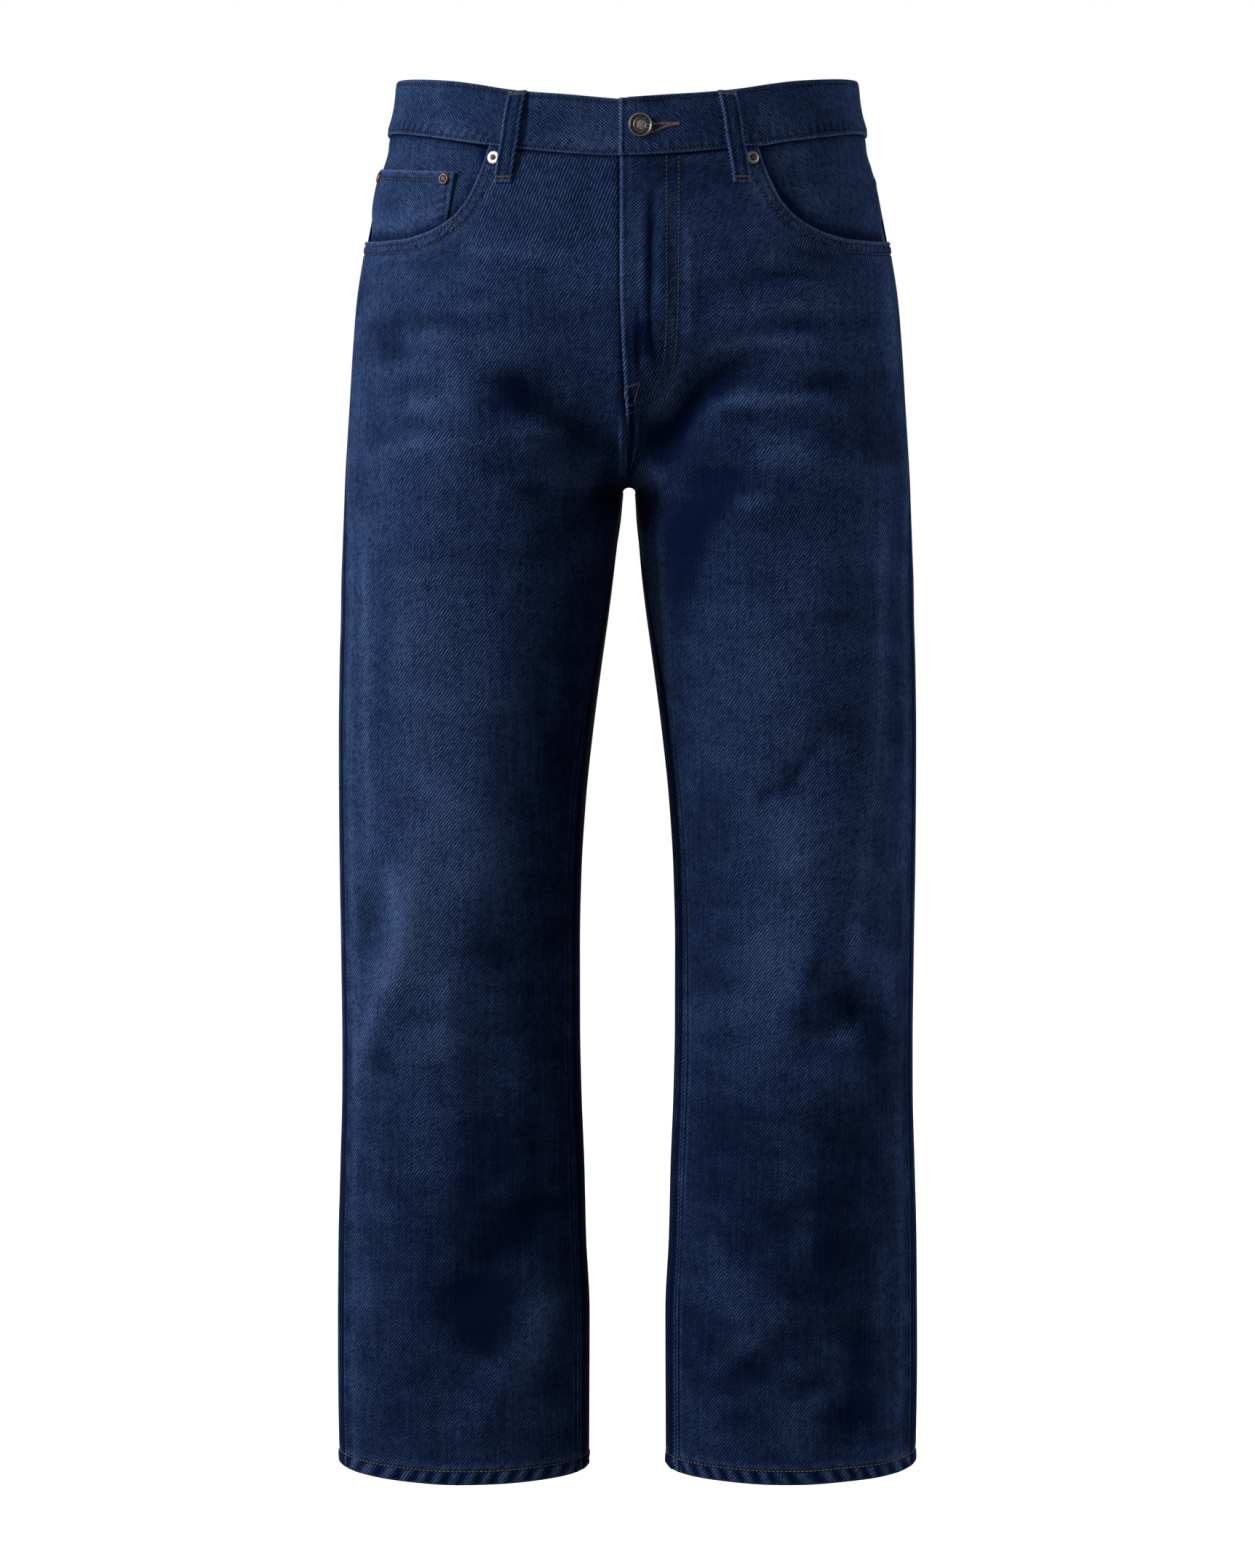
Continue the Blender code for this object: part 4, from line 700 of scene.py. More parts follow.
@dataclass(frozen=True)
class DenimFinish:
    """Indigo twill: its colours from unwashed to faded, and the slant of its lines in degrees."""

    name: str
    slant: float
    deep: tuple[float, float, float] = (0.0016, 0.0052, 0.0235)
    body: tuple[float, float, float] = (0.0052, 0.0160, 0.0590)
    faded: tuple[float, float, float] = (0.0720, 0.1220, 0.2650)
    pitch: float = 0.0019
    contrast: float = 0.85
    sheen: float = 0.01

    def material(self) -> bpy.types.Material:
        """The finish as a material, made once."""
        if self.name in bpy.data.materials:
            return bpy.data.materials[self.name]
        material, kit, shader = fresh_material(self.name)
        weave = kit.node("ShaderNodeGroup", node_tree=weave_group())
        kit.feed(weave, {
            "Grain": kit.node("ShaderNodeUVMap", uv_map="grain").outputs["UV"],
            "Wash": kit.layer("wash"), "Rub": kit.layer("rub"),
            "Slant": math.radians(self.slant), "Pitch": self.pitch, "Contrast": self.contrast,
            "Deep": (*self.deep, 1.0), "Body": (*self.body, 1.0), "Faded": (*self.faded, 1.0)})
        kit.feed(shader, {
            "Base Color": weave.outputs["Colour"], "Roughness": weave.outputs["Roughness"],
            "Normal": kit.bumped(weave.outputs["Height"], 0.00028, 0.75), "Specular IOR Level": 0.02,
            "Sheen Weight": self.sheen, "Sheen Roughness": 0.45, "Sheen Tint": (0.32, 0.46, 0.80, 1.0)})
        return material


@dataclass(frozen=True)
class ThreadFinish:
    """Sewing thread, twisted and a little uneven in colour."""

    name: str
    colour: tuple[float, float, float]

    def material(self) -> bpy.types.Material:
        """The finish as a material, made once."""
        if self.name in bpy.data.materials:
            return bpy.data.materials[self.name]
        material, kit, shader = fresh_material(self.name)
        spot = kit.node("ShaderNodeTexCoord").outputs["Object"]
        mottle = kit.levels(kit.noise(spot, 420.0, 2.0), 0.3, 0.7)
        dark = tuple(0.45 * value for value in self.colour)
        colour = kit.blend(mottle, (*dark, 1.0), (*self.colour, 1.0))
        strands = kit.noise(kit.stretch(spot, (2600.0, 2600.0, 2600.0)), 1.0, 0.0)
        kit.feed(shader, {"Base Color": colour, "Normal": kit.bumped(strands, 0.0001, 0.6),
                          "Sheen Weight": 0.1, "Roughness": kit.sum("MULTIPLY_ADD", mottle, -0.15, 0.72)})
        return material


@dataclass(frozen=True)
class MetalFinish:
    """Worn metal: darker in its hollows, brighter where it is rubbed."""

    name: str
    bright: tuple[float, float, float]
    dark: tuple[float, float, float]
    roughness: float

    def material(self) -> bpy.types.Material:
        """The finish as a material, made once."""
        if self.name in bpy.data.materials:
            return bpy.data.materials[self.name]
        material, kit, shader = fresh_material(self.name)
        spot = kit.node("ShaderNodeTexCoord").outputs["Object"]
        stain = kit.levels(kit.noise(spot, 900.0, 3.0), 0.35, 0.7)
        mask = kit.sum("MULTIPLY_ADD", stain, 0.35, kit.layer("hollow"))
        colour = kit.blend(mask, (*self.bright, 1.0), (*self.dark, 1.0))
        grit = kit.noise(spot, 2400.0, 2.0)
        kit.feed(shader, {"Base Color": colour, "Metallic": 1.0, "Normal": kit.bumped(grit, 0.00005, 0.5),
                          "Roughness": kit.sum("MULTIPLY_ADD", stain, 0.25, self.roughness)})
        return material


LEG_DENIM = DenimFinish("denim_legs", 53.0)
BACK_DENIM = DenimFinish("denim_backs", 53.0)
BAND_DENIM = DenimFinish("denim_waistband", -42.0, pitch=0.0017)
FACING_DENIM = DenimFinish("denim_facing", -43.0, pitch=0.0017)
COIN_DENIM = DenimFinish("denim_coin_pocket", -56.0, pitch=0.0016)
LOOP_DENIM = DenimFinish("denim_loops", 56.0, pitch=0.0018)
INSIDE_DENIM = DenimFinish("denim_inside", -56.0, deep=(0.05, 0.07, 0.12), body=(0.12, 0.16, 0.24),
                           faded=(0.3, 0.36, 0.46), contrast=0.6, sheen=0.1)
TAN_THREAD = ThreadFinish("thread_tan", (0.20, 0.125, 0.060))
BROWN_THREAD = ThreadFinish("thread_brown", (0.125, 0.076, 0.044))
NAVY_THREAD = ThreadFinish("thread_navy", (0.014, 0.016, 0.030))
COPPER_THREAD = ThreadFinish("thread_copper", (0.12, 0.058, 0.036))
GREY_THREAD = ThreadFinish("thread_grey", (0.115, 0.085, 0.075))
ANTIQUE = MetalFinish("metal_antique", (0.20, 0.19, 0.185), (0.018, 0.017, 0.018), 0.36)
# A lit copy of the dull rivet metal, far paler: a painted reflection of the key light on the one pocket rivet
# that faces it.
LIT_RIVET_COPY = MetalFinish("metal_bright", (0.76, 0.75, 0.74), (0.25, 0.24, 0.23), 0.55)
PEWTER = MetalFinish("metal_pewter", (0.11, 0.108, 0.105), (0.018, 0.017, 0.017), 0.60)
DULL = MetalFinish("metal_dull", (0.30, 0.285, 0.265), (0.035, 0.032, 0.03), 0.38)
COPPER = MetalFinish("metal_copper", (0.15, 0.105, 0.09), (0.022, 0.016, 0.016), 0.45)


# ---------------------------------------------------------------- cloth

@dataclass
class ClothSheet:
    """One cut piece of cloth as a grid of places, in millimetres, made into a thin shell.

    Its weave follows the body's height, or the piece's own length where it is a strip. It is flipped
    where its columns run to the right, seen from outside.
    """

    name: str
    points: Array
    normals: Array
    outer: Array
    wall: Array | float
    wash: Array
    rub: Array
    finish: DenimFinish
    flip: bool
    strip: bool = False

    def build(self) -> bpy.types.Object:
        """Make the shell.

        Returns:
            The object, at the origin, with its UV map in metres and its fading as attributes.
        """
        rows, columns = self.points.shape[:2]
        count = rows * columns
        top = self.points + self.normals * self.outer[..., None]
        under = self.points + self.normals * (self.outer - self.wall)[..., None]
        verts = np.concatenate([top.reshape(-1, 3), under.reshape(-1, 3)]) * MM
        index = np.arange(count).reshape(rows, columns)
        a, b, c, d = index[:-1, :-1], index[:-1, 1:], index[1:, 1:], index[1:, :-1]
        skin = np.stack([a, b, c, d], axis=-1).reshape(-1, 4)
        if self.flip:
            skin = skin[:, ::-1]
        back = skin[:, ::-1] + count
        ring = np.concatenate([index[0, :], index[1:, -1], index[-1, -2::-1], index[-2:0:-1, 0]])
        follow = np.roll(ring, -1)
        rim = np.stack([ring, ring + count, follow + count, follow], axis=-1)
        if self.flip:
            rim = rim[:, ::-1]
        faces = np.concatenate([skin, back, rim])
        mesh = bpy.data.meshes.new(self.name)
        mesh.from_pydata(verts.tolist(), [], faces.tolist())
        middle = columns // 2
        along, up = edge_gaps(self.points)["first"], self.points[..., 2]
        along = (along - along[:, middle, None]) * (1.0 if self.flip else -1.0)
        if self.strip:
            along, up = np.broadcast_to(along.mean(axis=0), along.shape), up - up.mean(axis=0)
        else:
            along = along - (self.points[..., 0] * np.sign(self.normals[..., 1]))[:, middle, None]
        grain = np.stack([along, up], axis=-1).reshape(-1, 2) * MM
        layer = mesh.uv_layers.new(name="grain")
        corners = np.empty(len(mesh.loops), dtype=np.int32)
        mesh.loops.foreach_get("vertex_index", corners)
        layer.data.foreach_set("uv", grain[corners % count].ravel())
        # Both attributes carry real washing out and rubbing together with painted highlights and painted
        # shade.
        for title, values in (("wash", self.wash), ("rub", self.rub)):
            data = mesh.attributes.new(title, "FLOAT", "POINT").data
            both = np.tile(np.broadcast_to(values, (rows, columns)).ravel(), 2)
            data.foreach_set("value", both.astype(np.float32))
        mesh.materials.append(self.finish.material())
        mesh.materials.append(INSIDE_DENIM.material())
        slots = np.concatenate([np.zeros(len(skin)), np.ones(len(back)), np.zeros(len(rim))]).astype(np.int32)
        mesh.polygons.foreach_set("material_index", slots)
        mesh.polygons.foreach_set("use_smooth", np.ones(len(faces), dtype=bool))
        mesh.set_sharp_from_angle(angle=math.radians(55.0))
        mesh.update()
        return add_object(self.name, mesh)

    def declare(self, item: bpy.types.Object, nodes: tuple[str, ...]) -> None:
        rows = np.linalg.norm(np.diff(self.points, axis=1), axis=-1).sum(axis=1)
        columns = np.linalg.norm(np.diff(self.points, axis=0), axis=-1).sum(axis=0)
        across = self.points[:-1, 1:] - self.points[:-1, :-1]
        down = self.points[1:, :-1] - self.points[:-1, :-1]
        area = float(np.linalg.norm(np.cross(across, down), axis=-1).sum()) * MM * MM
        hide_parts(*nodes)
        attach(item, "root")


# ---------------------------------------------------------------- sewing

def stitch_tree() -> bpy.types.NodeTree:
    """Geometry Nodes that lay a row of stitches along each path of a mesh of edges."""
    name = "stitch_rows"
    if name in bpy.data.node_groups:
        return bpy.data.node_groups[name]
    tree = bpy.data.node_groups.new(name, "GeometryNodeTree")
    face = tree.interface
    face.new_socket("Geometry", in_out="INPUT", socket_type="NodeSocketGeometry")
    for title in ("Pitch", "Length", "Width", "Height", "Turn", "Unevenness"):
        face.new_socket(title, in_out="INPUT", socket_type="NodeSocketFloat")
    face.new_socket("Seed", in_out="INPUT", socket_type="NodeSocketInt")
    face.new_socket("Material", in_out="INPUT", socket_type="NodeSocketMaterial")
    face.new_socket("Geometry", in_out="OUTPUT", socket_type="NodeSocketGeometry")
    kit = GraphKit(tree)
    given = kit.node("NodeGroupInput").outputs
    curve = kit.node("GeometryNodeMeshToCurve", {"Mesh": given["Geometry"]}).outputs["Curve"]
    spots = kit.node("GeometryNodeCurveToPoints", {"Curve": curve, "Length": given["Pitch"]},
                     mode="LENGTH").outputs
    bead = kit.node("GeometryNodeMeshUVSphere", {"Segments": 6, "Rings": 4, "Radius": 0.5}).outputs["Mesh"]
    out = kit.node("GeometryNodeInputNamedAttribute", {"Name": "out"}, data_type="FLOAT_VECTOR").outputs[0]
    held = kit.node("GeometryNodeStoreNamedAttribute",
                    {"Geometry": spots["Points"], "Name": "run", "Value": spots["Tangent"]},
                    data_type="FLOAT_VECTOR", domain="POINT").outputs[0]
    run = kit.node("GeometryNodeInputNamedAttribute", {"Name": "run"}, data_type="FLOAT_VECTOR").outputs[0]
    axes = kit.node("FunctionNodeAxesToRotation", {"Primary Axis": out, "Secondary Axis": run},
                    primary_axis="Z", secondary_axis="X").outputs[0]
    wobble = kit.node("FunctionNodeRandomValue", {"Seed": given["Seed"]}, data_type="FLOAT")
    wobble.inputs[2].default_value = -1.0
    wobble.inputs[3].default_value = 1.0
    swing = kit.sum("MULTIPLY", wobble.outputs[1], given["Unevenness"])
    angle = kit.sum("ADD", given["Turn"], swing)
    euler = kit.node("ShaderNodeCombineXYZ", {"Z": angle}).outputs[0]
    spin = kit.node("FunctionNodeEulerToRotation", {"Euler": euler}).outputs[0]
    turned = kit.node("FunctionNodeRotateRotation", {"Rotation": axes, "Rotate By": spin},
                      rotation_space="LOCAL").outputs[0]
    size = kit.node("ShaderNodeCombineXYZ", {"X": given["Length"], "Y": given["Width"],
                                             "Z": given["Height"]}).outputs[0]
    placed = kit.node("GeometryNodeInstanceOnPoints", {"Points": held, "Instance": bead, "Rotation": turned,
                                                       "Scale": size}).outputs[0]
    real = kit.node("GeometryNodeRealizeInstances", {"Geometry": placed}).outputs[0]
    soft = kit.node("GeometryNodeSetShadeSmooth", {"Geometry": real}).outputs[0]
    dressed = kit.node("GeometryNodeSetMaterial",
                       {"Geometry": soft, "Material": given["Material"]}).outputs[0]
    kit.node("NodeGroupOutput", {"Geometry": dressed})
    return tree


@dataclass(frozen=True)
class Stitch:
    """One kind of stitch: thread, spacing and size in millimetres, and its turn from the row in degrees."""

    thread: ThreadFinish | MetalFinish
    pitch: float = 3.1
    length: float = 2.5
    width: float = 0.62
    height: float = 0.6
    turn: float = 0.0
    unevenness: float = 0.06

    def sew(self, name: str, rows: list[tuple[Array, Array]], slot: str) -> bpy.types.Object:
        """Sew rows of stitches.

        Args:
            name: the piece's name.
            rows: places and outward normals of each row, in millimetres.
            slot: not used.

        Returns:
            The stitches as one plain mesh.
        """
        mesh = bpy.data.meshes.new(name)
        verts, edges, outs = [], [], []
        for points, normals in rows:
            first = len(verts)
            verts += (points * MM).tolist()
            outs += normals.tolist()
            edges += [(k, k + 1) for k in range(first, len(verts) - 1)]
        mesh.from_pydata(verts, edges, [])
        data = mesh.attributes.new("out", "FLOAT_VECTOR", "POINT").data
        data.foreach_set("vector", np.array(outs, dtype=np.float32).ravel())
        item, tree = add_object(name, mesh), stitch_tree()
        modifier = item.modifiers.new("stitches", "NODES")
        modifier.node_group = tree
        given = {"Pitch": self.pitch * MM, "Length": self.length * MM, "Width": self.width * MM,
                 "Height": self.height * MM, "Turn": math.radians(self.turn), "Unevenness": self.unevenness,
                 "Seed": 7, "Material": self.thread.material()}
        for socket in tree.interface.items_tree:
            if socket.in_out == "INPUT" and socket.name in given:
                modifier[socket.identifier] = given[socket.name]
        graph = bpy.context.evaluated_depsgraph_get()
        final = bpy.data.meshes.new_from_object(item.evaluated_get(graph))
        item.modifiers.remove(modifier)
        for layer in ("out", "run"):
            if layer in final.attributes:
                final.attributes.remove(final.attributes[layer])
        item.data = final
        bpy.data.meshes.remove(mesh)
        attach(item, "root")
        LOG.info("%s: %d faces", name, len(final.polygons))
        return item


TOP_TAN = Stitch(TAN_THREAD)
TOP_BROWN = Stitch(BROWN_THREAD, pitch=2.9, length=2.2, width=0.45, height=0.5)
TOP_NAVY = Stitch(NAVY_THREAD, pitch=2.9, length=2.4, width=0.6, height=0.55)
BAR_COPPER = Stitch(COPPER_THREAD, pitch=0.62, length=1.9, width=0.6, height=0.7, turn=78.0, unevenness=0.12)
HOLE_GREY = Stitch(GREY_THREAD, pitch=0.60, length=2.3, width=0.55, height=0.7, turn=78.0, unevenness=0.18)


class Landing:
    """Finds the outer face of built pieces, so that what is sewn on lies on them."""

    reach = 6.0

    def __init__(self, items: list[bpy.types.Object]) -> None:
        """Keep a search tree over the pieces' faces."""
        verts, faces = [], []
        for item in items:
            first = len(verts)
            verts += [vert.co.copy() for vert in item.data.vertices]
            faces += [[first + k for k in polygon.vertices] for polygon in item.data.polygons]
        self.tree = BVHTree.FromPolygons(verts, faces)

    def settle(self, points: Array, normals: Array, lift: float = LIFT) -> tuple[Array, Array]:
        """Drop places onto the pieces from outside.

        Args:
            points, normals: places near the face and their outward normals, in millimetres.
            lift: height above the face, in millimetres.

        Returns:
            The settled places and the face's normals there.
        """
        spots, outs = [], []
        for point, normal in zip(points, normals):
            start = Vector((point + normal * self.reach) * MM)
            hit, out, _, _ = self.tree.ray_cast(start, Vector(-normal), 2.0 * self.reach * MM)
            if hit is None:
                hit, out = Vector(point * MM), Vector(normal)
            if out.dot(Vector(normal)) < 0.0:
                out = -out
            spots.append(np.array(hit) / MM + np.array(out) * lift)
            outs.append(np.array(out))
        return np.array(spots), np.array(outs)


def spin(name: str, profile: tuple[tuple[float, float, float], ...], centre: Vector, facing: Vector,
         finish: MetalFinish, sides: int, heart: MetalFinish | None = None) -> bpy.types.Object:
    """Turn a profile into a round fitting.

    Args:
        name: the piece's name.
        profile: rows of radius, height and hollow (0 rubbed to 1 in a hollow), in millimetres.
        centre: where its middle sits, in millimetres.
        facing: the way it faces.
        finish: its metal.
        sides: how many steps round.
        heart: the metal of the middle, inside the deepest ring.

    Returns:
        The fitting as a closed mesh.
    """
    pit = max(range(len(profile)), key=lambda k: profile[k][2])
    builder = bmesh.new()
    hollow = builder.verts.layers.float.new("hollow")
    turn = facing.to_track_quat("Z", "Y")
    rings = []
    for radius, height, depth in profile:
        count = sides if radius > 0.0 else 1
        ring = []
        for k in range(count):
            angle = 2.0 * math.pi * k / sides
            spot = Vector((radius * math.cos(angle), radius * math.sin(angle), height))
            vert = builder.verts.new((centre + turn @ spot) * MM)
            vert[hollow] = depth
            ring.append(vert)
        rings.append(ring)
    for step, (low, high) in enumerate(zip(rings, rings[1:])):
        for k in range(sides):
            after = (k + 1) % sides
            corners = [low[k % len(low)], low[after % len(low)], high[after % len(high)], high[k % len(high)]]
            face = builder.faces.new(list(dict.fromkeys(corners)))
            face.material_index = 1 if heart and step >= pit else 0
    bmesh.ops.recalc_face_normals(builder, faces=builder.faces)
    mesh = bpy.data.meshes.new(name)
    builder.to_mesh(mesh)
    builder.free()
    mesh.shade_smooth()
    mesh.set_sharp_from_angle(angle=math.radians(40.0))
    for metal in filter(None, (finish, heart)):
        mesh.materials.append(metal.material())
    return add_object(name, mesh)


# ---------------------------------------------------------------- legs

def spaced(stops: tuple[tuple[float, int], ...]) -> Array:
    """Places from 0 on: each stop gives where a stretch ends and how many steps it has."""
    places, start = [0.0], 0.0
    for end, steps in stops:
        places += [start + (end - start) * k / steps for k in range(1, steps + 1)]
        start = end
    return np.array(places)


FRONT_COLUMNS = spaced(((0.012, 4), (0.10, 14), (0.35, 28), (0.372, 9), (0.43, 12), (0.98, 48), (1.0, 5)))
BACK_COLUMNS = spaced(((0.012, 4), (0.05, 6), (0.95, 86), (0.985, 6), (1.0, 5)))


@dataclass
class LegPanel:
    """A front or a back, from its top edge to the hem."""

    face: Face
    side: int

    @property
    def word(self) -> str:
        """The panel's name, as its node has it."""
        return f"{self.face.name.lower()}_{side_word(self.side)}"

    def top(self, place: Array) -> Array:
        """Height of the top edge: the yoke's seam, or the waist and the scoop of the pocket."""
        if self.face is Face.BACK:
            return YOKE_BOTTOM.read("z", place)
        return np.where(place < SCOOP_START, waist_seam(self.face, place), SCOOP.read("z", place))

    def grid(self) -> tuple[Array, Array]:
        """Places and heights of the panel's points."""
        columns = FRONT_COLUMNS if self.face is Face.FRONT else BACK_COLUMNS
        top = self.top(columns)
        upper = np.linspace(0.0, 1.0, 34)[:, None] ** 1.25
        stops = ((PANEL_LEVEL, CROTCH_Z + 2.4, 40), (CROTCH_Z + 2.4, CROTCH_Z - 4.8, 18),
                 (CROTCH_Z - 4.8, HEM_TOP, 196), (HEM_TOP, HEM_Z, 12))
        lower = np.concatenate([np.linspace(start, end, steps + 1)[1:] for start, end, steps in stops])
        lower = lower[:, None]
        rise = HEM_RISE * ease(2.0 * columns - 1.0) * ease((HEM_TOP + 20.0 - lower) / 20.0)
        heights = np.concatenate([top + (PANEL_LEVEL - top) * upper, lower + rise])
        return np.broadcast_to(columns, heights.shape), heights

    def relief(self, points: Array, gaps: dict[str, Array]) -> tuple[Array, Array]:
        """The small forms of seams, and how far they are rubbed pale or painted light and dark.

        Args:
            points: the panel's points.
            gaps: distances to its edges.

        Returns:
            Heights in millimetres, and rubbing together with painted highlights and shade, from -1 to 1.
        """
        z = points[..., 2]
        centre, side, top, hem = gaps["first"], gaps["last"], gaps["top"], gaps["bottom"]
        height = -0.5 * np.exp(-side / 0.7)
        ahead = self.face is Face.FRONT
        # The side seam's edge is pale on the fronts, partly from rubbing and partly as a painted highlight,
        # and a painted dark strip runs beside it on the backs.
        pale, dark = (0.40, 0.10) if ahead else (0.05, 0.28)
        rub = pale * bump(side, 0.9, 0.7) - dark * bump(side, 2.6, 1.0)
        rope = 0.5 + 0.5 * np.sin(z / 4.1 + 1.4 * np.sin(z / 17.0) + self.side)
        swell = 0.5 + 0.5 * drift(z, z, 26.0, 2.0 + self.side)
        allowance = bump(side, 15.0, 3.6)
        height += 0.35 * allowance
        rub += allowance * 0.12 + bump(side, 4.5, 2.6) * (0.26 * swell * rope - 0.10)
        leg = z < CROTCH_Z - 4.0
        inner = np.where(leg, centre, FAR)
        height += (-0.5 * np.exp(-inner / 0.7) - 0.4 * bump(inner, 3.0, 0.6) + 0.4 * bump(inner, 5.2, 1.0)
                   - 0.3 * bump(inner, 7.2, 0.6))
        # Across the felled inseam the ridges are paler from rubbing and the sunk rows carry painted shade.
        rub += (0.40 * bump(inner, 1.1, 0.7) - 0.34 * bump(inner, 3.0, 0.7) + 0.36 * bump(inner, 5.2, 0.7)
                - 0.26 * bump(inner, 7.2, 0.7) + 0.22 * bump(inner, 9.0, 0.8)
                + bump(inner, 4.2, 3.0) * (0.24 * rope * swell - 0.08))
        height, rub = self.hem_relief(height, rub, points, hem)
        if ahead:
            return self.front_relief(height, rub, points, gaps)
        seam = np.where(z > CROTCH_Z + 2.0, centre, FAR)
        raised = 0.8 if self.side == LEFT else -0.4
        # Painted shade on the backs beside the side seam and the inseam, where the legs turn away from the
        # light.
        rub += -0.34 * np.exp(-((side - 2.0) / 6.0) ** 2) - 0.42 * np.exp(-(inner / 9.0) ** 2)
        height += raised * np.exp(-(seam / 11.0) ** 4) - 0.6 * np.exp(-seam / 0.6)
        height += -0.3 * bump(seam, 2.2, 0.6) - 0.3 * bump(seam, 8.6, 0.6)
        rub += 0.22 * bump(seam, 0.9, 0.8) + bump(seam, 5.4, 2.4) * (0.12 * rope - 0.05)
        height += -0.7 * np.exp(-top / 1.4)
        # Painted shade just under the yoke's seam, with a pale rubbed line below it.
        rub += 0.10 * bump(top, 1.5, 1.2) - 0.1 * np.exp(-top / 1.5)
        return height, rub

    def hem_relief(self, height: Array, rub: Array, points: Array, hem: Array) -> tuple[Array, Array]:
        """Add the turned-up hem: its sunk row and the slanted ropes below it."""
        around = edge_gaps(points)["first"]
        slant = around + hem * 0.55 + 9.0 * drift(around, around, 40.0, 3.0 + self.side)
        ropes = np.sin(slant / 12.5 * 2.0 * math.pi / 1.05)
        band = ease(hem / 2.0) * ease((HEM_STITCH - hem) / 2.0)
        height += -0.45 * bump(hem, HEM_STITCH, 0.8) + 0.6 * band * ropes - 0.7 * np.exp(-hem / 0.8)
        height += 0.3 * band
        lip = bump(hem, HEM_STITCH + 2.4, 1.7)
        rub += band * (0.30 * ropes + 0.04) + 0.16 * bump(hem, 0.8, 0.8) + lip * (0.22 + 0.08 * ropes)
        # Painted shade in the hem's sunk row.
        rub += -0.24 * bump(hem, HEM_STITCH, 0.7)
        return height, rub

    def front_relief(self, height: Array, rub: Array, points: Array,
                     gaps: dict[str, Array]) -> tuple[Array, Array]:
        """Add what only the fronts have: the fly's edge, the waist's edge and the pocket's rolled edge."""
        z, centre = points[..., 2], gaps["first"]
        fly = np.where(z > CROTCH_Z + 4.0, centre, FAR)
        if self.side == LEFT:
            height += 1.0 * np.exp(-(fly / 34.0) ** 6) - 0.9 * np.exp(-fly / 0.9) + 0.35 * bump(fly, 2.2, 1.2)
            below = ease((-226.0 - z) / 8.0)
            # The fly's folded edge is painted pale, partly from rubbing and partly as a highlight, with
            # painted shade beside it.
            rub += ((0.42 - 0.34 * below) * bump(fly, 1.2, 0.9) - 0.10 * bump(fly, 3.8, 1.0)
                    + 0.14 * bump(fly, 6.6, 1.2))
            height += below * (-0.3 * bump(fly, 6.0, 0.7) + 0.25 * bump(fly, 3.6, 1.2))
            rub += below * 0.12 * bump(fly, 7.6, 0.9)
        else:
            height += -0.9 * np.exp(-fly / 1.6)
            # Painted shadow where the right front runs under the fly's edge.
            rub += -0.34 * np.exp(-fly / 1.6)
        edge = np.linspace(0.0, SCOOP_START, 80)
        waist, _ = FORM.surface(self.face, self.side, edge, waist_seam(self.face, edge))
        near = np.where((z > PANEL_LEVEL - 12.0)[..., None], points, AWAY)
        gap, _ = path_gap(near, waist)
        height += -0.7 * np.exp(-gap / 1.0) + 0.3 * bump(gap, 4.0, 2.2)
        # Painted shadow under the waistband's lower edge, with a slightly paler line below.
        rub += -0.50 * np.exp(-gap / 1.5) + 0.08 * bump(gap, 4.5, 2.0)
        edge = np.concatenate([np.linspace(SCOOP_START, 0.45, 120), np.linspace(0.455, 1.0, 120)])
        scoop, _ = FORM.surface(self.face, self.side, edge, SCOOP.read("z", edge))
        gap, run = path_gap(near, scoop)
        first, second = SCOOP_ROWS
        roll = np.exp(-((gap - 1.2) / 1.25) ** 2)
        height += (0.9 * roll - 0.6 * np.exp(-gap / 0.35) - 0.45 * bump(gap, first, 0.6)
                   - 0.5 * bump(gap, second, 0.7))
        between = ease((gap - first) / 1.2) * ease((second - gap) / 1.2)
        pucker = np.sin(run / 5.2 * 2.0 * math.pi + gap * 0.35 + 0.8 * np.sin(run / 11.0))
        height += between * (0.36 * pucker + 0.30)
        beyond = bump(gap, second + 3.0, 2.2)
        height += beyond * 0.2 * np.sin(run / 6.4 * 2.0 * math.pi)
        # The pocket's rolled edge is painted pale, partly from rubbing and partly as a highlight, with
        # painted shade in its two sunk rows.
        rub += (0.46 * roll - 0.30 * bump(gap, first + 0.2, 0.6) + between * (0.18 * pucker + 0.04)
                - 0.30 * bump(gap, second, 0.7) + 0.08 * beyond)
        return height, rub

    def fading_and_painted_light(self, points: Array) -> Array:
        """How far the panel is washed out, from 0 to about 1, with painted highlights and painted shade added
        on its folds and strokes.
        """
        x, z = points[..., 0], points[..., 2]
        fades = FRONT_FADES if self.face is Face.FRONT else BACK_FADES
        folds = FRONT_FOLDS if self.face is Face.FRONT else BACK_FOLDS
        wash = WASH_DOWN.read("wash", z) + strokes(fades, x, z, 0.2) + 0.06 * drift(x, z, 60.0, 5.0)
        # Painted highlights on the ridges of creases and folds, and painted shade in their troughs.
        wash += 0.17 * FORM.creases(self.face, x, z) - 0.03 + 0.032 * strokes(folds, x, z, FOLD_END)
        if self.face is Face.FRONT:
            # Painted light and shade strokes; the wearer's right front is painted a little lighter and the
            # left darker, as the light falls.
            wash += strokes(FRONT_FADES_AND_PAINTED_LIGHT, x, z, 0.1) + (0.04 if self.side == RIGHT else -0.03)
        return wash

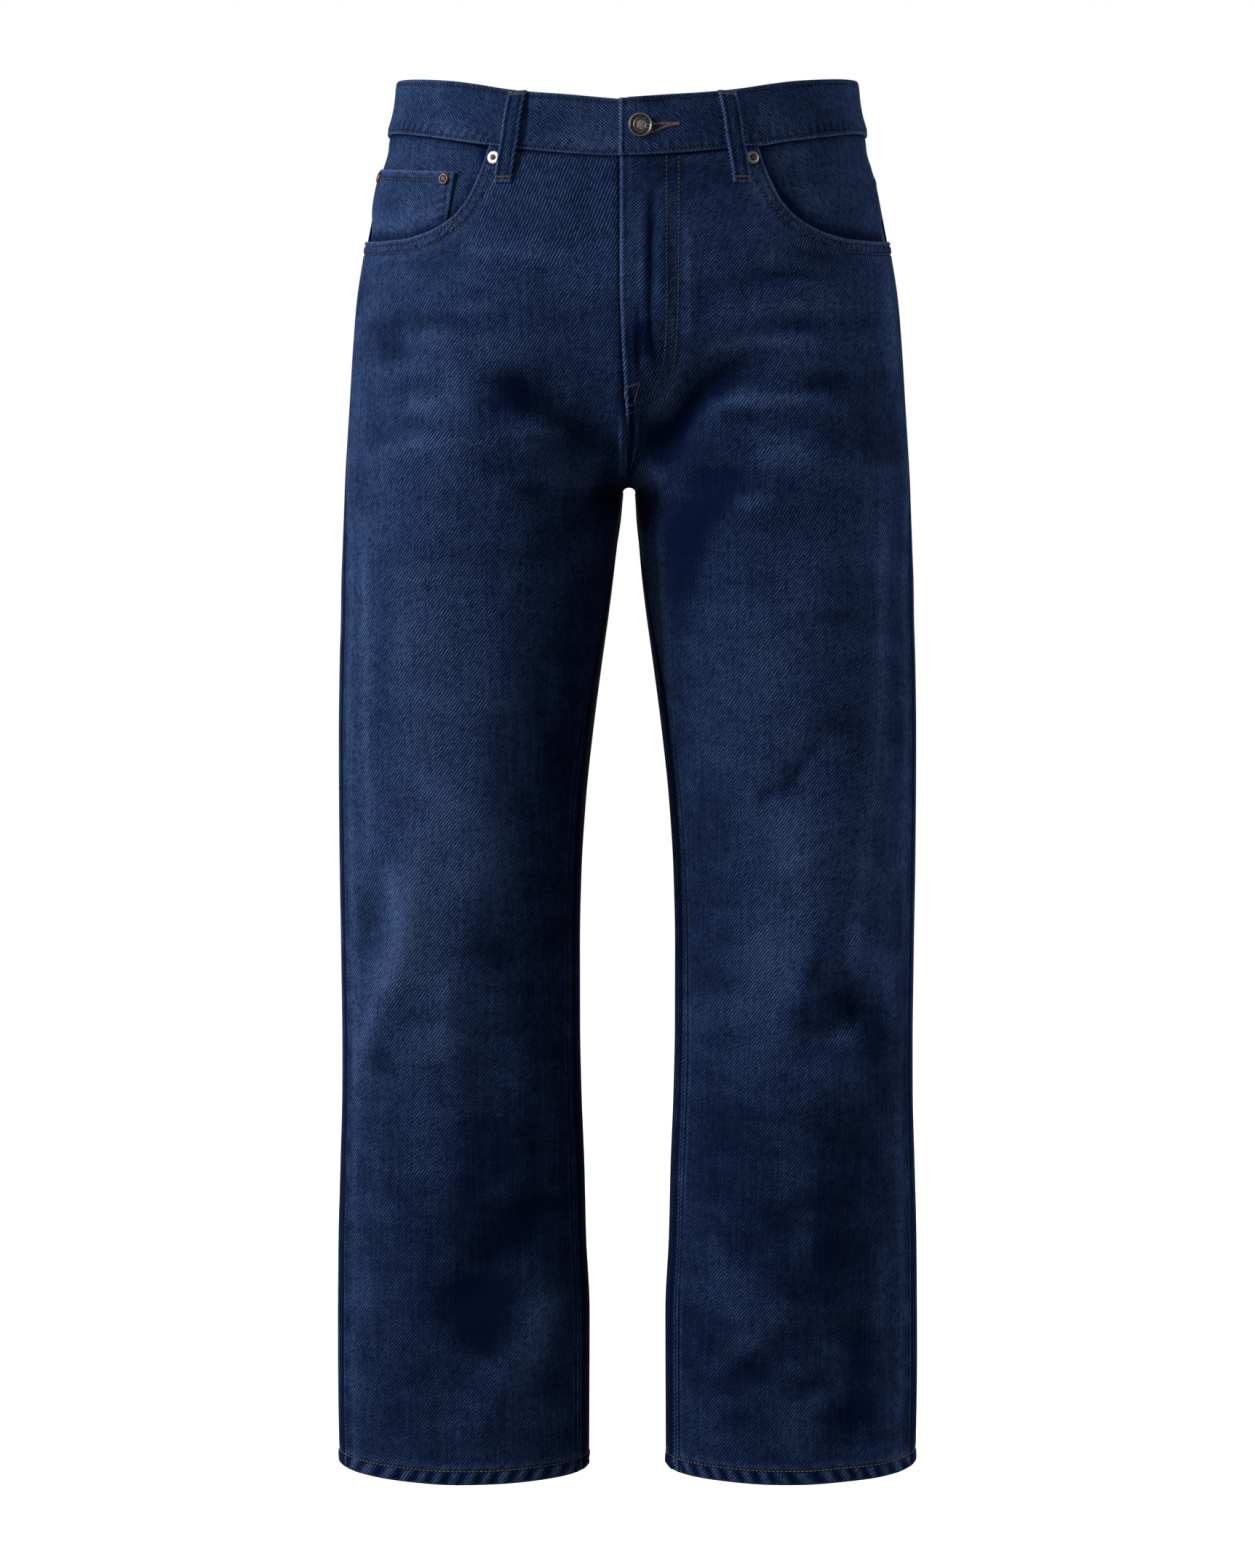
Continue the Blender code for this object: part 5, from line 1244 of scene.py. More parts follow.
    def build(self) -> bpy.types.Object:
        place, heights = self.grid()
        points, normals = FORM.surface(self.face, self.side, place, heights)
        gaps = edge_gaps(points)
        relief, rub = self.relief(points, gaps)
        wall = np.where(gaps["bottom"] < HEM_DEPTH, HEM_WALL, SHEET_WALL)
        finish = LEG_DENIM if self.face is Face.FRONT else BACK_DENIM
        sheet = ClothSheet(f"cloth_{self.word}", points, normals, relief, wall, self.fading_and_painted_light(points), rub,
                           finish, flip=runs_right(self.face, self.side))
        item = sheet.build()
        sheet.declare(item, (self.word,))
        return item

    def row(self, landing: Landing, places: Array, heights: Array) -> tuple[Array, Array]:
        """A row of sewing over the panel, settled on its face."""
        return landing.settle(*FORM.surface(self.face, self.side, places, heights))


FLY_INNER = ((27.3, -47.6), (27.3, -102), (27.2, -150), (26.8, -180), (22.9, -199), (16.4, -212), (7.0, -218),
             (-3.9, -220))
FLY_OUTER = ((35.9, -47.6), (35.9, -138), (34.6, -173), (32.0, -196), (24.2, -213), (13.7, -221),
             (-4.6, -226))
FLY_TACK = ((-3.0, -219.0), (-3.0, -207.5), (8.0, -204.0), (4.5, -217.0))


def on_front_left(run: Array) -> tuple[Array, Array]:
    """Places on the wearer's left front, and their normals, for a run of (x, z)."""
    shares = np.linspace(0.0, 1.0, 400)
    places = []
    for x, z in run:
        xs = FORM.smooth(Face.FRONT, LEFT, shares, np.full(shares.shape, z))[..., 0] * LEFT
        places.append(float(np.interp(x * LEFT, xs, shares)))
    return FORM.surface(Face.FRONT, LEFT, np.array(places), run[:, 1])


def smoothed(corners: tuple[tuple[float, float], ...], step: float = 1.5) -> Array:
    """A rounded run of (x, z) through corners, as points a step apart."""
    corners = np.array(corners, dtype=float)
    for _ in range(2):
        cut = [corners[0]]
        for a, b in zip(corners, corners[1:]):
            cut += [a * 0.75 + b * 0.25, a * 0.25 + b * 0.75]
        corners = np.array(cut + [corners[-1]])
    run = np.concatenate(([0.0], np.cumsum(np.linalg.norm(np.diff(corners, axis=0), axis=1))))
    at = np.arange(0.0, run[-1], step)
    return np.stack([np.interp(at, run, corners[:, 0]), np.interp(at, run, corners[:, 1])], axis=-1)


@dataclass
class Legs:
    """Both fronts and backs, with the sewing of the hems, the fly, the pocket edges and the centre back."""

    def build(self) -> dict[str, bpy.types.Object]:
        """Make the four panels and sew them.

        Returns:
            The panels by their node's name.
        """
        panels = [LegPanel(face, side) for face in Face for side in (LEFT, RIGHT)]
        built = {panel.word: panel.build() for panel in panels}
        hems, scoops = [], []
        for panel in panels:
            landing = Landing([built[panel.word]])
            places = np.linspace(0.004, 0.996, 90)
            rise = HEM_RISE * ease(2.0 * places - 1.0)
            hems.append(panel.row(landing, places, HEM_Z + HEM_STITCH + rise))
            if panel.face is Face.FRONT:
                scoops += self.scoop_rows(panel, landing)
        TOP_TAN.sew("stitches_hems", hems, "denim")
        TOP_BROWN.sew("stitches_pocket_edges", scoops, "denim")
        self.fly(built["front_left"])
        self.centre_back(built["back_left"])
        return built

    @staticmethod
    def scoop_rows(panel: LegPanel, landing: Landing) -> list[tuple[Array, Array]]:
        """The two rows under a pocket's edge."""
        rows = []
        edge = np.concatenate([np.linspace(SCOOP_START + 0.001, 0.45, 60), np.linspace(0.456, 1.0, 90)])
        spots, normals = FORM.surface(panel.face, panel.side, edge, SCOOP.read("z", edge))
        run = np.gradient(spots, axis=0)
        inward = np.cross(run, normals)
        inward /= np.linalg.norm(inward, axis=-1, keepdims=True)
        inward *= -np.sign((inward[:, 2:3]).mean())
        for distance in SCOOP_ROWS:
            row = spots + inward * distance
            keep = np.abs(row[:, 0]) <= np.abs(spots[-1, 0]) - 0.2
            keep &= row[:, 2] < waist_seam(panel.face, edge) - 1.0
            rows.append(landing.settle(row[keep], normals[keep]))
        return rows

    @staticmethod
    def fly(item: bpy.types.Object) -> None:
        """The curved double row of the fly and its small tack."""
        landing = Landing([item])
        rows = []
        for corners in (FLY_INNER, FLY_OUTER):
            rows.append(landing.settle(*on_front_left(smoothed(corners))))
        TOP_BROWN.sew("stitches_fly", rows, "denim")
        run = np.concatenate([np.linspace(a, b, 8) for a, b in zip(FLY_TACK, FLY_TACK[1:])])
        tack = landing.settle(*on_front_left(run), 0.2)
        Stitch(BROWN_THREAD, pitch=0.55, length=0.9, width=0.5, height=0.5, turn=70.0).sew(
            "tack_fly", [tack], "denim")

    @staticmethod
    def centre_back(item: bpy.types.Object) -> None:
        """The double row beside the centre back seam."""
        landing = Landing([item])
        rows = []
        heights = np.linspace(YOKE_BOTTOM.read("z", 0.0) - 1.0, CROTCH_Z + 8.0, 90)
        for distance in (2.2, 8.6):
            places = []
            for z in heights:
                stops, run = FORM.along(Face.BACK, LEFT, float(z))
                places.append(float(np.interp(distance, run, stops)))
            rows.append(landing.settle(*FORM.surface(Face.BACK, LEFT, np.array(places), heights)))
        TOP_BROWN.sew("stitches_centre_back", rows, "denim")


# ---------------------------------------------------------------- yokes

@dataclass
class Yokes:
    """The two panels between the waistband and the backs."""

    row_gaps: tuple[float, float] = (2.2, 8.6)

    def build(self) -> list[bpy.types.Object]:
        """Make both yokes and their double rows."""
        built, rows = [], []
        for side in (LEFT, RIGHT):
            item = self.panel(side)
            built.append(item)
            landing = Landing([item])
            places = np.linspace(0.002, 0.998, 90)
            for gap in self.row_gaps:
                heights = YOKE_BOTTOM.read("z", places) + gap
                rows.append(landing.settle(*FORM.surface(Face.BACK, side, places, heights)))
        TOP_BROWN.sew("stitches_yokes", rows, "denim")
        return built

    def panel(self, side: int) -> bpy.types.Object:
        """One yoke."""
        word = side_word(side)
        share = spaced(((0.06, 3), (0.9, 20), (1.0, 6)))[:, None]
        top, bottom = waist_seam(Face.BACK, BACK_COLUMNS), YOKE_BOTTOM.read("z", BACK_COLUMNS)
        heights = top + (bottom - top) * share
        places = np.broadcast_to(BACK_COLUMNS, heights.shape)
        points, normals = FORM.surface(Face.BACK, side, places, heights)
        gaps = edge_gaps(points)
        centre, low, high = gaps["first"], gaps["bottom"], gaps["top"]
        near, far = self.row_gaps
        rope = np.sin(centre / 6.2 * 2.0 * math.pi / 1.1 + low * 0.3)
        height = 0.6 * np.exp(-(low / 12.0) ** 4) - 0.7 * np.exp(-low / 0.6) - 0.6 * np.exp(-high / 1.0)
        height += -0.3 * bump(low, near, 0.6) - 0.3 * bump(low, far, 0.6) - 0.5 * np.exp(-gaps["last"] / 0.7)
        raised = 0.3 if side == LEFT else -0.2
        height += raised * np.exp(-(centre / 11.0) ** 4) - 0.5 * np.exp(-centre / 0.6)
        band = ease((low - near) / 1.2) * ease((far - low) / 1.2)
        height += 0.25 * band * rope
        # Pale rubbed edges, with painted shade in the near row and painted shadow under the waistband.
        rub = (0.24 * bump(low, 0.9, 0.8) + band * 0.12 * rope - 0.1 * bump(low, near, 0.6)
               - 0.25 * np.exp(-high / 1.2))
        rub += 0.16 * bump(centre, 0.9, 0.8) + 0.16 * bump(gaps["last"], 0.9, 0.8)
        wash = 0.40 + 0.06 * drift(points[..., 0], points[..., 2], 50.0, 5.0)
        sheet = ClothSheet(f"cloth_yoke_{word}", points, normals, height, SHEET_WALL, wash, rub, BACK_DENIM,
                           flip=runs_right(Face.BACK, side))
        item = sheet.build()
        sheet.declare(item, (f"yoke_{word}",))
        return item


# ---------------------------------------------------------------- pockets

@dataclass
class FrontPockets:
    """The cloth in the front pockets' openings, the coin pocket and the rivets."""

    deep: float = -3.9
    shallow: float = -0.9
    start: float = 0.31
    corner: float = 0.43
    underlap: float = 12.0
    level: float = 2.0
    easing: float = 26.0
    cloth: float = 1.0
    coin_lift: float = 2.1
    coin_row: float = 6.6
    coin_top: Table = Table(("place", "z"), ((0.45, -55.0), (0.7, -50.0), (0.94, -45.0)))

    def inside(self, side: int, points: Array) -> Array:
        """How far a place lies inside the pocket's edge, in millimetres."""
        edge = np.linspace(SCOOP_START, 1.0, 260)
        path = FORM.smooth(Face.FRONT, side, edge, SCOOP.read("z", edge))
        gap, _ = path_gap(points, path)
        return gap

    def sink(self, side: int, places: Array, heights: Array) -> Array:
        """Offset of the facing's outer face from the form: deep at the pocket's edge."""
        points = FORM.smooth(Face.FRONT, side, places, heights)
        gap = self.inside(side, points)
        below = heights < SCOOP.read("z", np.maximum(places, SCOOP_START))
        gap = np.where(below | (places < SCOOP_START), 0.0, gap)
        return self.deep + (self.shallow - self.deep) * ease((gap - self.level) / self.easing)

    def build(self) -> None:
        """Make both facings, the coin pocket, the rivets and their sewing."""
        for side in (LEFT, RIGHT):
            self.facing(side)
        self.coin_pocket()
        self.rivets()

    def facing(self, side: int) -> bpy.types.Object:
        """One pocket facing."""
        word = side_word(side)
        columns = np.concatenate([np.linspace(self.start, self.corner, 22), np.linspace(0.44, 1.0, 70)])
        share = np.linspace(0.0, 1.0, 56)[:, None]
        top = waist_seam(Face.FRONT, columns)
        bottom = SCOOP.read("z", np.maximum(columns, self.corner)) - self.underlap
        heights = top + (bottom - top) * share
        places = np.broadcast_to(columns, heights.shape)
        points, normals = FORM.surface(Face.FRONT, side, places, heights)
        gaps = edge_gaps(points)
        x, z = points[..., 0], points[..., 2]
        relief = 0.35 * drift(x, z, 20.0, 6.0) - 0.5 * np.exp(-gaps["top"] / 1.2)
        # The wearer's left facing is painted darker than the right, as the light falls.
        wash = 0.42 + 0.06 * drift(x, z, 30.0, 2.0) + (0.03 if side == RIGHT else -0.08)
        wash += strokes(FACING_FADES_AND_PAINTED_LIGHT, x, z, 0.1)
        sunk = self.sink(side, places, heights)
        deep = (self.shallow - sunk) / (self.shallow - self.deep)
        # Painted shadow under the waistband and inside the pocket's edge, where the facing sinks deepest.
        rub = -0.50 * np.exp(-gaps["top"] / 1.6) + 0.12 * bump(gaps["last"], 1.0, 1.0) - 0.34 * deep ** 8
        sheet = ClothSheet(f"cloth_facing_{word}", points, normals, sunk + relief, self.cloth, wash, rub,
                           FACING_DENIM, flip=runs_right(Face.FRONT, side))
        item = sheet.build()
        sheet.declare(item, (f"pocket_facing_{word}",))
        return item

    def coin_pocket(self) -> None:
        """The coin pocket: folded top and side edges, one row of sewing under the top."""
        down = np.linspace(0.0, 1.0, 46)[:, None]
        start, end = 0.451 + 0.017 * down, 0.940 - 0.055 * down
        places = start + (end - start) * np.linspace(0.0, 1.0, 60)[None, :]
        top = self.coin_top.read("z", places)
        heights = top + (SCOOP.read("z", places) - 8.0 - top) * down
        points, normals = FORM.surface(Face.FRONT, RIGHT, places, heights)
        gaps = edge_gaps(points)
        inner, outer, high = gaps["first"], gaps["last"], gaps["top"]
        x, z = points[..., 0], points[..., 2]
        sunk = self.sink(RIGHT, places, heights)
        height = sunk + self.coin_lift + 0.4 * np.exp(-(high / 7.0) ** 6)
        height += -0.5 * np.exp(-high / 0.5) - 0.6 * np.exp(-inner / 0.6) - 0.6 * np.exp(-outer / 0.6)
        height += 0.5 * bump(inner, 1.6, 0.9) - 0.3 * bump(high, self.coin_row, 0.6)
        height += 0.3 * drift(x, z, 12.0, 3.0)
        pucker = np.sin(z / 5.0 * 2.0 * math.pi / 1.2 + inner * 0.25)
        height += 0.3 * bump(inner, 7.0, 3.0) * pucker
        rub = 0.42 * bump(high, 0.8, 0.8) + 0.50 * bump(inner, 1.2, 0.8) + 0.3 * bump(outer, 1.2, 0.8)
        # Painted shade in the sewn row and beside the folded inner edge.
        rub += (-0.30 * bump(high, self.coin_row, 0.7) - 0.30 * bump(inner, 3.4, 1.1)
                + 0.14 * bump(inner, 7.0, 3.0) * pucker)
        wash = 0.51 + 0.07 * drift(x, z, 22.0, 4.0) + strokes(FACING_FADES_AND_PAINTED_LIGHT, x, z, 0.1)
        deep = (self.shallow - sunk) / (self.shallow - self.deep)
        # Painted shadow where the coin pocket runs under the pocket's edge.
        rub += -0.34 * deep ** 8 + 0.12 * bump(gaps["bottom"], 22.0, 9.0)
        sheet = ClothSheet("cloth_coin_pocket", points, normals, height, self.cloth, wash, rub, COIN_DENIM,
                           flip=runs_right(Face.FRONT, RIGHT))
        item = sheet.build()
        sheet.declare(item, ("coin_pocket",))
        along = np.linspace(0.46, 0.93, 60)
        level = self.coin_top.read("z", along) - self.coin_row
        row = Landing([item]).settle(*FORM.surface(Face.FRONT, RIGHT, along, level))
        TOP_BROWN.sew("stitches_coin_pocket", [row], "pocket_denim")

    def rivets(self) -> None:
        """The rivets at the pockets' ends and on the coin pocket."""
        spots = (("pocket_rivet_left", LEFT, 0.335, -46.2, 9.0, 0.0, DULL),
                 # The two pocket rivets are the same metal; the right one takes the lit copy as a painted
                 # reflection.
                 ("pocket_rivet_right", RIGHT, 0.335, -46.2, 9.0, 0.0, LIT_RIVET_COPY),
                 ("coin_rivet_inner", RIGHT, 0.484, -59.9, 7.8, None, COPPER),
                 ("coin_rivet_outer", RIGHT, 0.879, -52.0, 7.8, None, COPPER))
        for name, side, place, z, width, surface, finish in spots:
            points, normals = FORM.surface(Face.FRONT, side, np.array([place]), np.array([z]))
            if surface is None:
                surface = float(self.sink(side, np.array([place]), np.array([z]))[0]) + self.coin_lift + 0.2
            radius, low = width / 2.0, surface + 0.3
            groove = 2.5 if finish is COPPER else 2.0
            shape = ((0.0, -0.6, 0.0), (radius, -0.6, 0.2), (radius + 0.15, 0.0, 0.3), (radius, 0.5, 0.0),
                     (radius - 0.3, 0.85, 0.0), (radius - 0.8, 1.0, 0.0), (groove + 0.35, 1.0, 0.0),
                     (groove, 0.6, 0.9), (groove - 0.45, 0.5, 1.0), (groove - 0.7, 0.9, 0.4),
                     (0.75, 1.15, 0.0), (0.5, 1.1, 0.5), (0.0, 0.9, 0.9))
            profile = tuple((reach, low + height, hollow) for reach, height, hollow in shape)
            item = spin(f"fitting_{name}", profile, Vector(points[0]), Vector(normals[0]), finish, 40, PEWTER)
            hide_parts(name)
            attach(item, "root")


@dataclass
class BackPockets:
    """The two patch pockets, sewn on the backs with a double row."""

    inner: tuple[float, float] = (36.0, 45.0)
    outer: tuple[float, float] = (188.0, 178.0)
    top_z: float = -104.0
    corner_z: float = -236.0
    tip_z: float = -262.0
    lift: float = 1.9
    cloth: float = 1.3
    row_gaps: tuple[float, float] = (2.2, 8.2)
    mouth_gap: float = 11.0

    def build(self) -> None:
        """Make both pockets and their sewing."""
        for side in (LEFT, RIGHT):
            self.pocket(side)

    def spots(self, side: int, across: Array, heights: Array) -> tuple[Array, Array]:
        """Points of the pocket.

        Args:
            side: the wearer's side.
            across: shares from the inner to the outer edge.
            heights: heights at each.

        Returns:
            Places on the form and their normals.
        """
        levels = np.linspace(self.top_z + 2.0, self.tip_z - 2.0, 40)
        runs = [FORM.along(Face.BACK, side, float(level)) for level in levels]
        drop = (self.top_z - heights) / (self.top_z - self.corner_z)
        near = self.inner[0] + (self.inner[1] - self.inner[0]) * drop
        far = self.outer[0] + (self.outer[1] - self.outer[0]) * drop
        distance = near + (far - near) * across
        by_level = np.stack([np.interp(distance, run, stops) for stops, run in runs])
        steps = len(levels) - 1
        position = np.clip((levels[0] - heights) / (levels[0] - levels[-1]) * steps, 0, steps - 0.001)
        low = position.astype(int)
        share = position - low
        rows, columns = np.indices(heights.shape)
        places = by_level[low, rows, columns] * (1.0 - share) + by_level[low + 1, rows, columns] * share
        return FORM.surface(Face.BACK, side, places, heights)

    def foot(self, across: Array, gap: float = 0.0) -> Array:
        """Height of the pointed lower edge, or of a row a gap inside it."""
        return self.corner_z + (self.tip_z - self.corner_z) * (1.0 - np.abs(2.0 * across - 1.0)) + gap

    def pocket(self, side: int) -> None:
        """One pocket."""
        word = side_word(side)
        across = np.broadcast_to(spaced(((0.02, 4), (0.98, 56), (1.0, 4)))[None, :], (63, 65))
        down = spaced(((0.02, 4), (0.98, 54), (1.0, 4)))[:, None]
        heights = self.top_z + (self.foot(across) - self.top_z) * down
        points, normals = self.spots(side, across, heights)
        gaps = edge_gaps(points)
        rim = np.minimum(np.minimum(gaps["first"], gaps["last"]), gaps["bottom"])
        mouth = gaps["top"]
        x, z = points[..., 0], points[..., 2]
        height = (self.lift - 0.9 * np.exp(-rim / 0.7) - 0.7 * np.exp(-mouth / 0.7)
                  + 0.35 * np.exp(-(mouth / 11.5) ** 8))
        for gap in self.row_gaps:
            height += -0.3 * bump(rim, gap, 0.6)
        height += -0.3 * bump(mouth, self.mouth_gap, 0.6) + 0.4 * drift(x, z, 24.0, 2.0 + side)
        rope = np.sin((x + z) / 7.0 * 2.0 * math.pi / 1.1)
        band = ease((rim - self.row_gaps[0]) / 1.2) * ease((self.row_gaps[1] - rim) / 1.2)
        height += 0.22 * band * rope
        rub = 0.28 * bump(rim, 0.9, 0.8) + 0.26 * bump(mouth, 0.9, 0.9) + 0.12 * band * rope
        wash = 0.46 + 0.16 * np.exp(-((gaps["bottom"] - 70.0) / 50.0) ** 2) + 0.06 * drift(x, z, 40.0, 7.0)
        sheet = ClothSheet(f"cloth_back_pocket_{word}", points, normals, height, self.cloth, wash, rub,
                           BACK_DENIM, flip=runs_right(Face.BACK, side))
        item = sheet.build()
        sheet.declare(item, (f"back_pocket_{word}",))
        landing = Landing([item])
        rows = []
        for gap in self.row_gaps:
            inset = gap / 140.0
            left = np.linspace(self.top_z - 1.0, self.foot(np.array([inset]), gap)[0], 70)
            base = np.linspace(inset, 1.0 - inset, 90)
            runs = ((np.full(left.shape, inset), left), (base, self.foot(base, gap * 1.08)),
                    (np.full(left.shape, 1.0 - inset), left[::-1]))
            share = np.concatenate([run[0] for run in runs])[None, :]
            level = np.concatenate([run[1] for run in runs])[None, :]
            spots, outs = self.spots(side, share, level)
            rows.append(landing.settle(spots[0], outs[0]))
        mouth_share = np.linspace(0.01, 0.99, 90)[None, :]
        spots, outs = self.spots(side, mouth_share, np.full(mouth_share.shape, self.top_z - self.mouth_gap))
        rows.append(landing.settle(spots[0], outs[0]))
        TOP_BROWN.sew(f"stitches_back_pocket_{word}", rows, "denim")
        tacks = []
        for share in (0.012, 0.988):
            level = np.linspace(self.top_z - 1.5, self.top_z - 10.5, 14)[None, :]
            spots, outs = self.spots(side, np.full(level.shape, share), level)
            tacks.append(landing.settle(spots[0], outs[0], 0.2))
        BAR_COPPER.sew(f"tacks_back_pocket_{word}", tacks, "denim")


# ---------------------------------------------------------------- waist

@dataclass
class Waistband:
    """The band round the waist: its free end laps over the other and holds the button."""

    proud: float = 1.0
    wall: float = 2.7
    start_x: float = -6.0
    end_x: float = 21.0
    raise_by: float = 0.6
    sink_by: float = 2.75
    top_row: float = 2.6
    low_row: float = 2.3
    half: float = 175.4
    hole_lines: tuple[tuple[tuple[float, float], ...], ...] = (
        ((11.0, 0.525), (24.0, 0.505), (36.0, 0.49)),
        ((11.0, 0.34), (20.0, 0.395), (27.0, 0.46), (36.0, 0.485)))

    def turn_at(self, x: float) -> float:
        """The turn at a distance across the front."""
        return math.asin(x / self.half) / math.pi

    def spots(self, turns: Array, shares: Array) -> Array:
        """Places on the band: turns count half rounds from the front middle, shares run up it."""
        turns, shares = np.broadcast_arrays(turns, shares)
        wrapped = np.where(turns > 1.0, turns - 2.0, turns)
        angle = np.abs(wrapped) * 180.0
        points = np.zeros(turns.shape + (3,))
        for side in (LEFT, RIGHT):
            for face in Face:
                mine = ((wrapped >= 0.0) == (side == LEFT)) & ((angle <= 90.0) == (face is Face.FRONT))
                centre = WornForm.centre_angle(face, side, np.zeros(turns.shape))
                place = (angle - centre) / (90.0 - centre)
                bottom = waist_seam(face, place) + 0.15
                z = bottom + (band_top(face, place) - bottom) * shares
                x, y = rounded(angle, HIPS.read("half_width", z), HIPS.read("front", z), HIPS.read("back", z),
                               ROUNDNESS)
                points = np.where(mine[..., None], np.stack([side * x, y, z], axis=-1), points)
        return points

    def surface(self, turns: Array, shares: Array) -> tuple[Array, Array]:
        """Places on the band and their outward normals."""
        across = self.spots(turns + 0.003, shares) - self.spots(turns - 0.003, shares)
        up = self.spots(turns, shares + 0.02) - self.spots(turns, shares - 0.02)
        normal = np.cross(across, up)
        return self.spots(turns, shares), normal / np.linalg.norm(normal, axis=-1, keepdims=True)

    def build(self) -> bpy.types.Object:
        """Make the band, its rows of sewing and the buttonhole."""
        start, bend, end = self.turn_at(self.start_x), self.turn_at(24.0), 2.0 + self.turn_at(self.end_x)
        turns = np.concatenate([np.linspace(start, start + 0.006, 5), np.linspace(start + 0.009, bend, 16),
                                np.linspace(bend, end, 430)[1:]])[None, :]
        shares = (1.0 - spaced(((0.09, 6), (0.90, 18), (1.0, 7))))[:, None]
        turns, shares = np.broadcast_arrays(turns, shares)
        points, normals = self.surface(turns, shares)
        gaps = edge_gaps(points)
        top, low, free = gaps["top"], gaps["bottom"], gaps["first"]
        around, x, y, z = free, points[..., 0], points[..., 1], points[..., 2]
        fade = ease((turns - 0.03) / 0.07)
        dive = ease((turns - 1.90) / 0.075)
        outer = self.proud + self.raise_by * (1.0 - fade) - self.sink_by * dive
        outer = outer - 0.9 * np.exp(-top / 0.8) - 0.8 * np.exp(-low / 0.6) - 0.9 * np.exp(-free / 0.7)
        outer += (-0.35 * bump(top, self.top_row, 0.6) - 0.35 * bump(low, self.low_row, 0.6)
                  + 0.2 * bump(free, 1.8, 0.8))
        pucker = np.sin(around / 6.6 * 2.0 * math.pi / 1.05 + low * 0.3 + 0.9 * np.sin(around / 23.0))
        outer += bump(low, 5.6, 2.6) * 0.32 * pucker
        outer += bump(top, 5.2, 2.2) * 0.14 * np.sin(around / 7.7 * 2.0 * math.pi)
        ahead = ease(-y / 20.0)
        crease = strokes(BAND_CREASES, x, z, 0.0) * ahead
        outer += crease + 0.28 * drift(around, z, 30.0, 3.0)
        # The band's creases are painted lighter on their ridges and darker in their troughs.
        wash = 0.46 + 0.10 * crease + 0.07 * drift(around, z, 40.0, 2.0)
        wash += (0.18 * np.exp(-((x + 18.0) / 26.0) ** 2) + strokes(BAND_FADES_AND_PAINTED_LIGHT, x, z, 0.1)) * ahead
        # Pale edges, partly from rubbing and partly as painted highlights, with painted shade in the sewn
        # rows and beside the free end.
        rub = (0.46 * bump(low, 0.6, 0.5) + 0.24 * bump(top, 0.9, 0.9) - 0.30 * bump(top, self.top_row, 0.8)
               - 0.34 * bump(low, self.low_row, 0.6) + 0.42 * bump(free, 1.2, 0.8)
               - 0.2 * bump(free, 3.4, 0.9) + bump(low, 5.6, 2.6) * 0.16 * pucker)
        sheet = ClothSheet("cloth_waistband", points, normals, outer, self.wall, wash, rub, BAND_DENIM,
                           flip=True, strip=True)
        item = sheet.build()
        sheet.declare(item, ("waistband",))
        self.sew(item, start, end)
        return item

    def sew(self, item: bpy.types.Object, start: float, end: float) -> None:
        """The rows along the band's edges and the buttonhole's dense stitches."""
        landing = Landing([item])
        turns = np.linspace(start + 0.004, end - 0.02, 560)
        rows = []
        for share in (1.0 - self.top_row / BAND_HEIGHT, self.low_row / BAND_HEIGHT):
            rows.append(landing.settle(*self.surface(turns, np.full(turns.shape, share)), 0.12))
        heights = np.linspace(0.07, 0.93, 40)
        rows.append(landing.settle(*self.surface(np.full(heights.shape, start + 0.0042), heights), 0.12))
        TOP_NAVY.sew("stitches_waistband", rows, "denim")
        hole = []
        for line in self.hole_lines:
            xs = np.linspace(line[0][0], line[-1][0], 40)
            shares = np.interp(xs, [x for x, _ in line], [share for _, share in line])
            along = np.array([self.turn_at(float(x)) for x in xs])
            hole.append(landing.settle(*self.surface(along, shares), 0.2))
        HOLE_GREY.sew("buttonhole", hole, "denim")


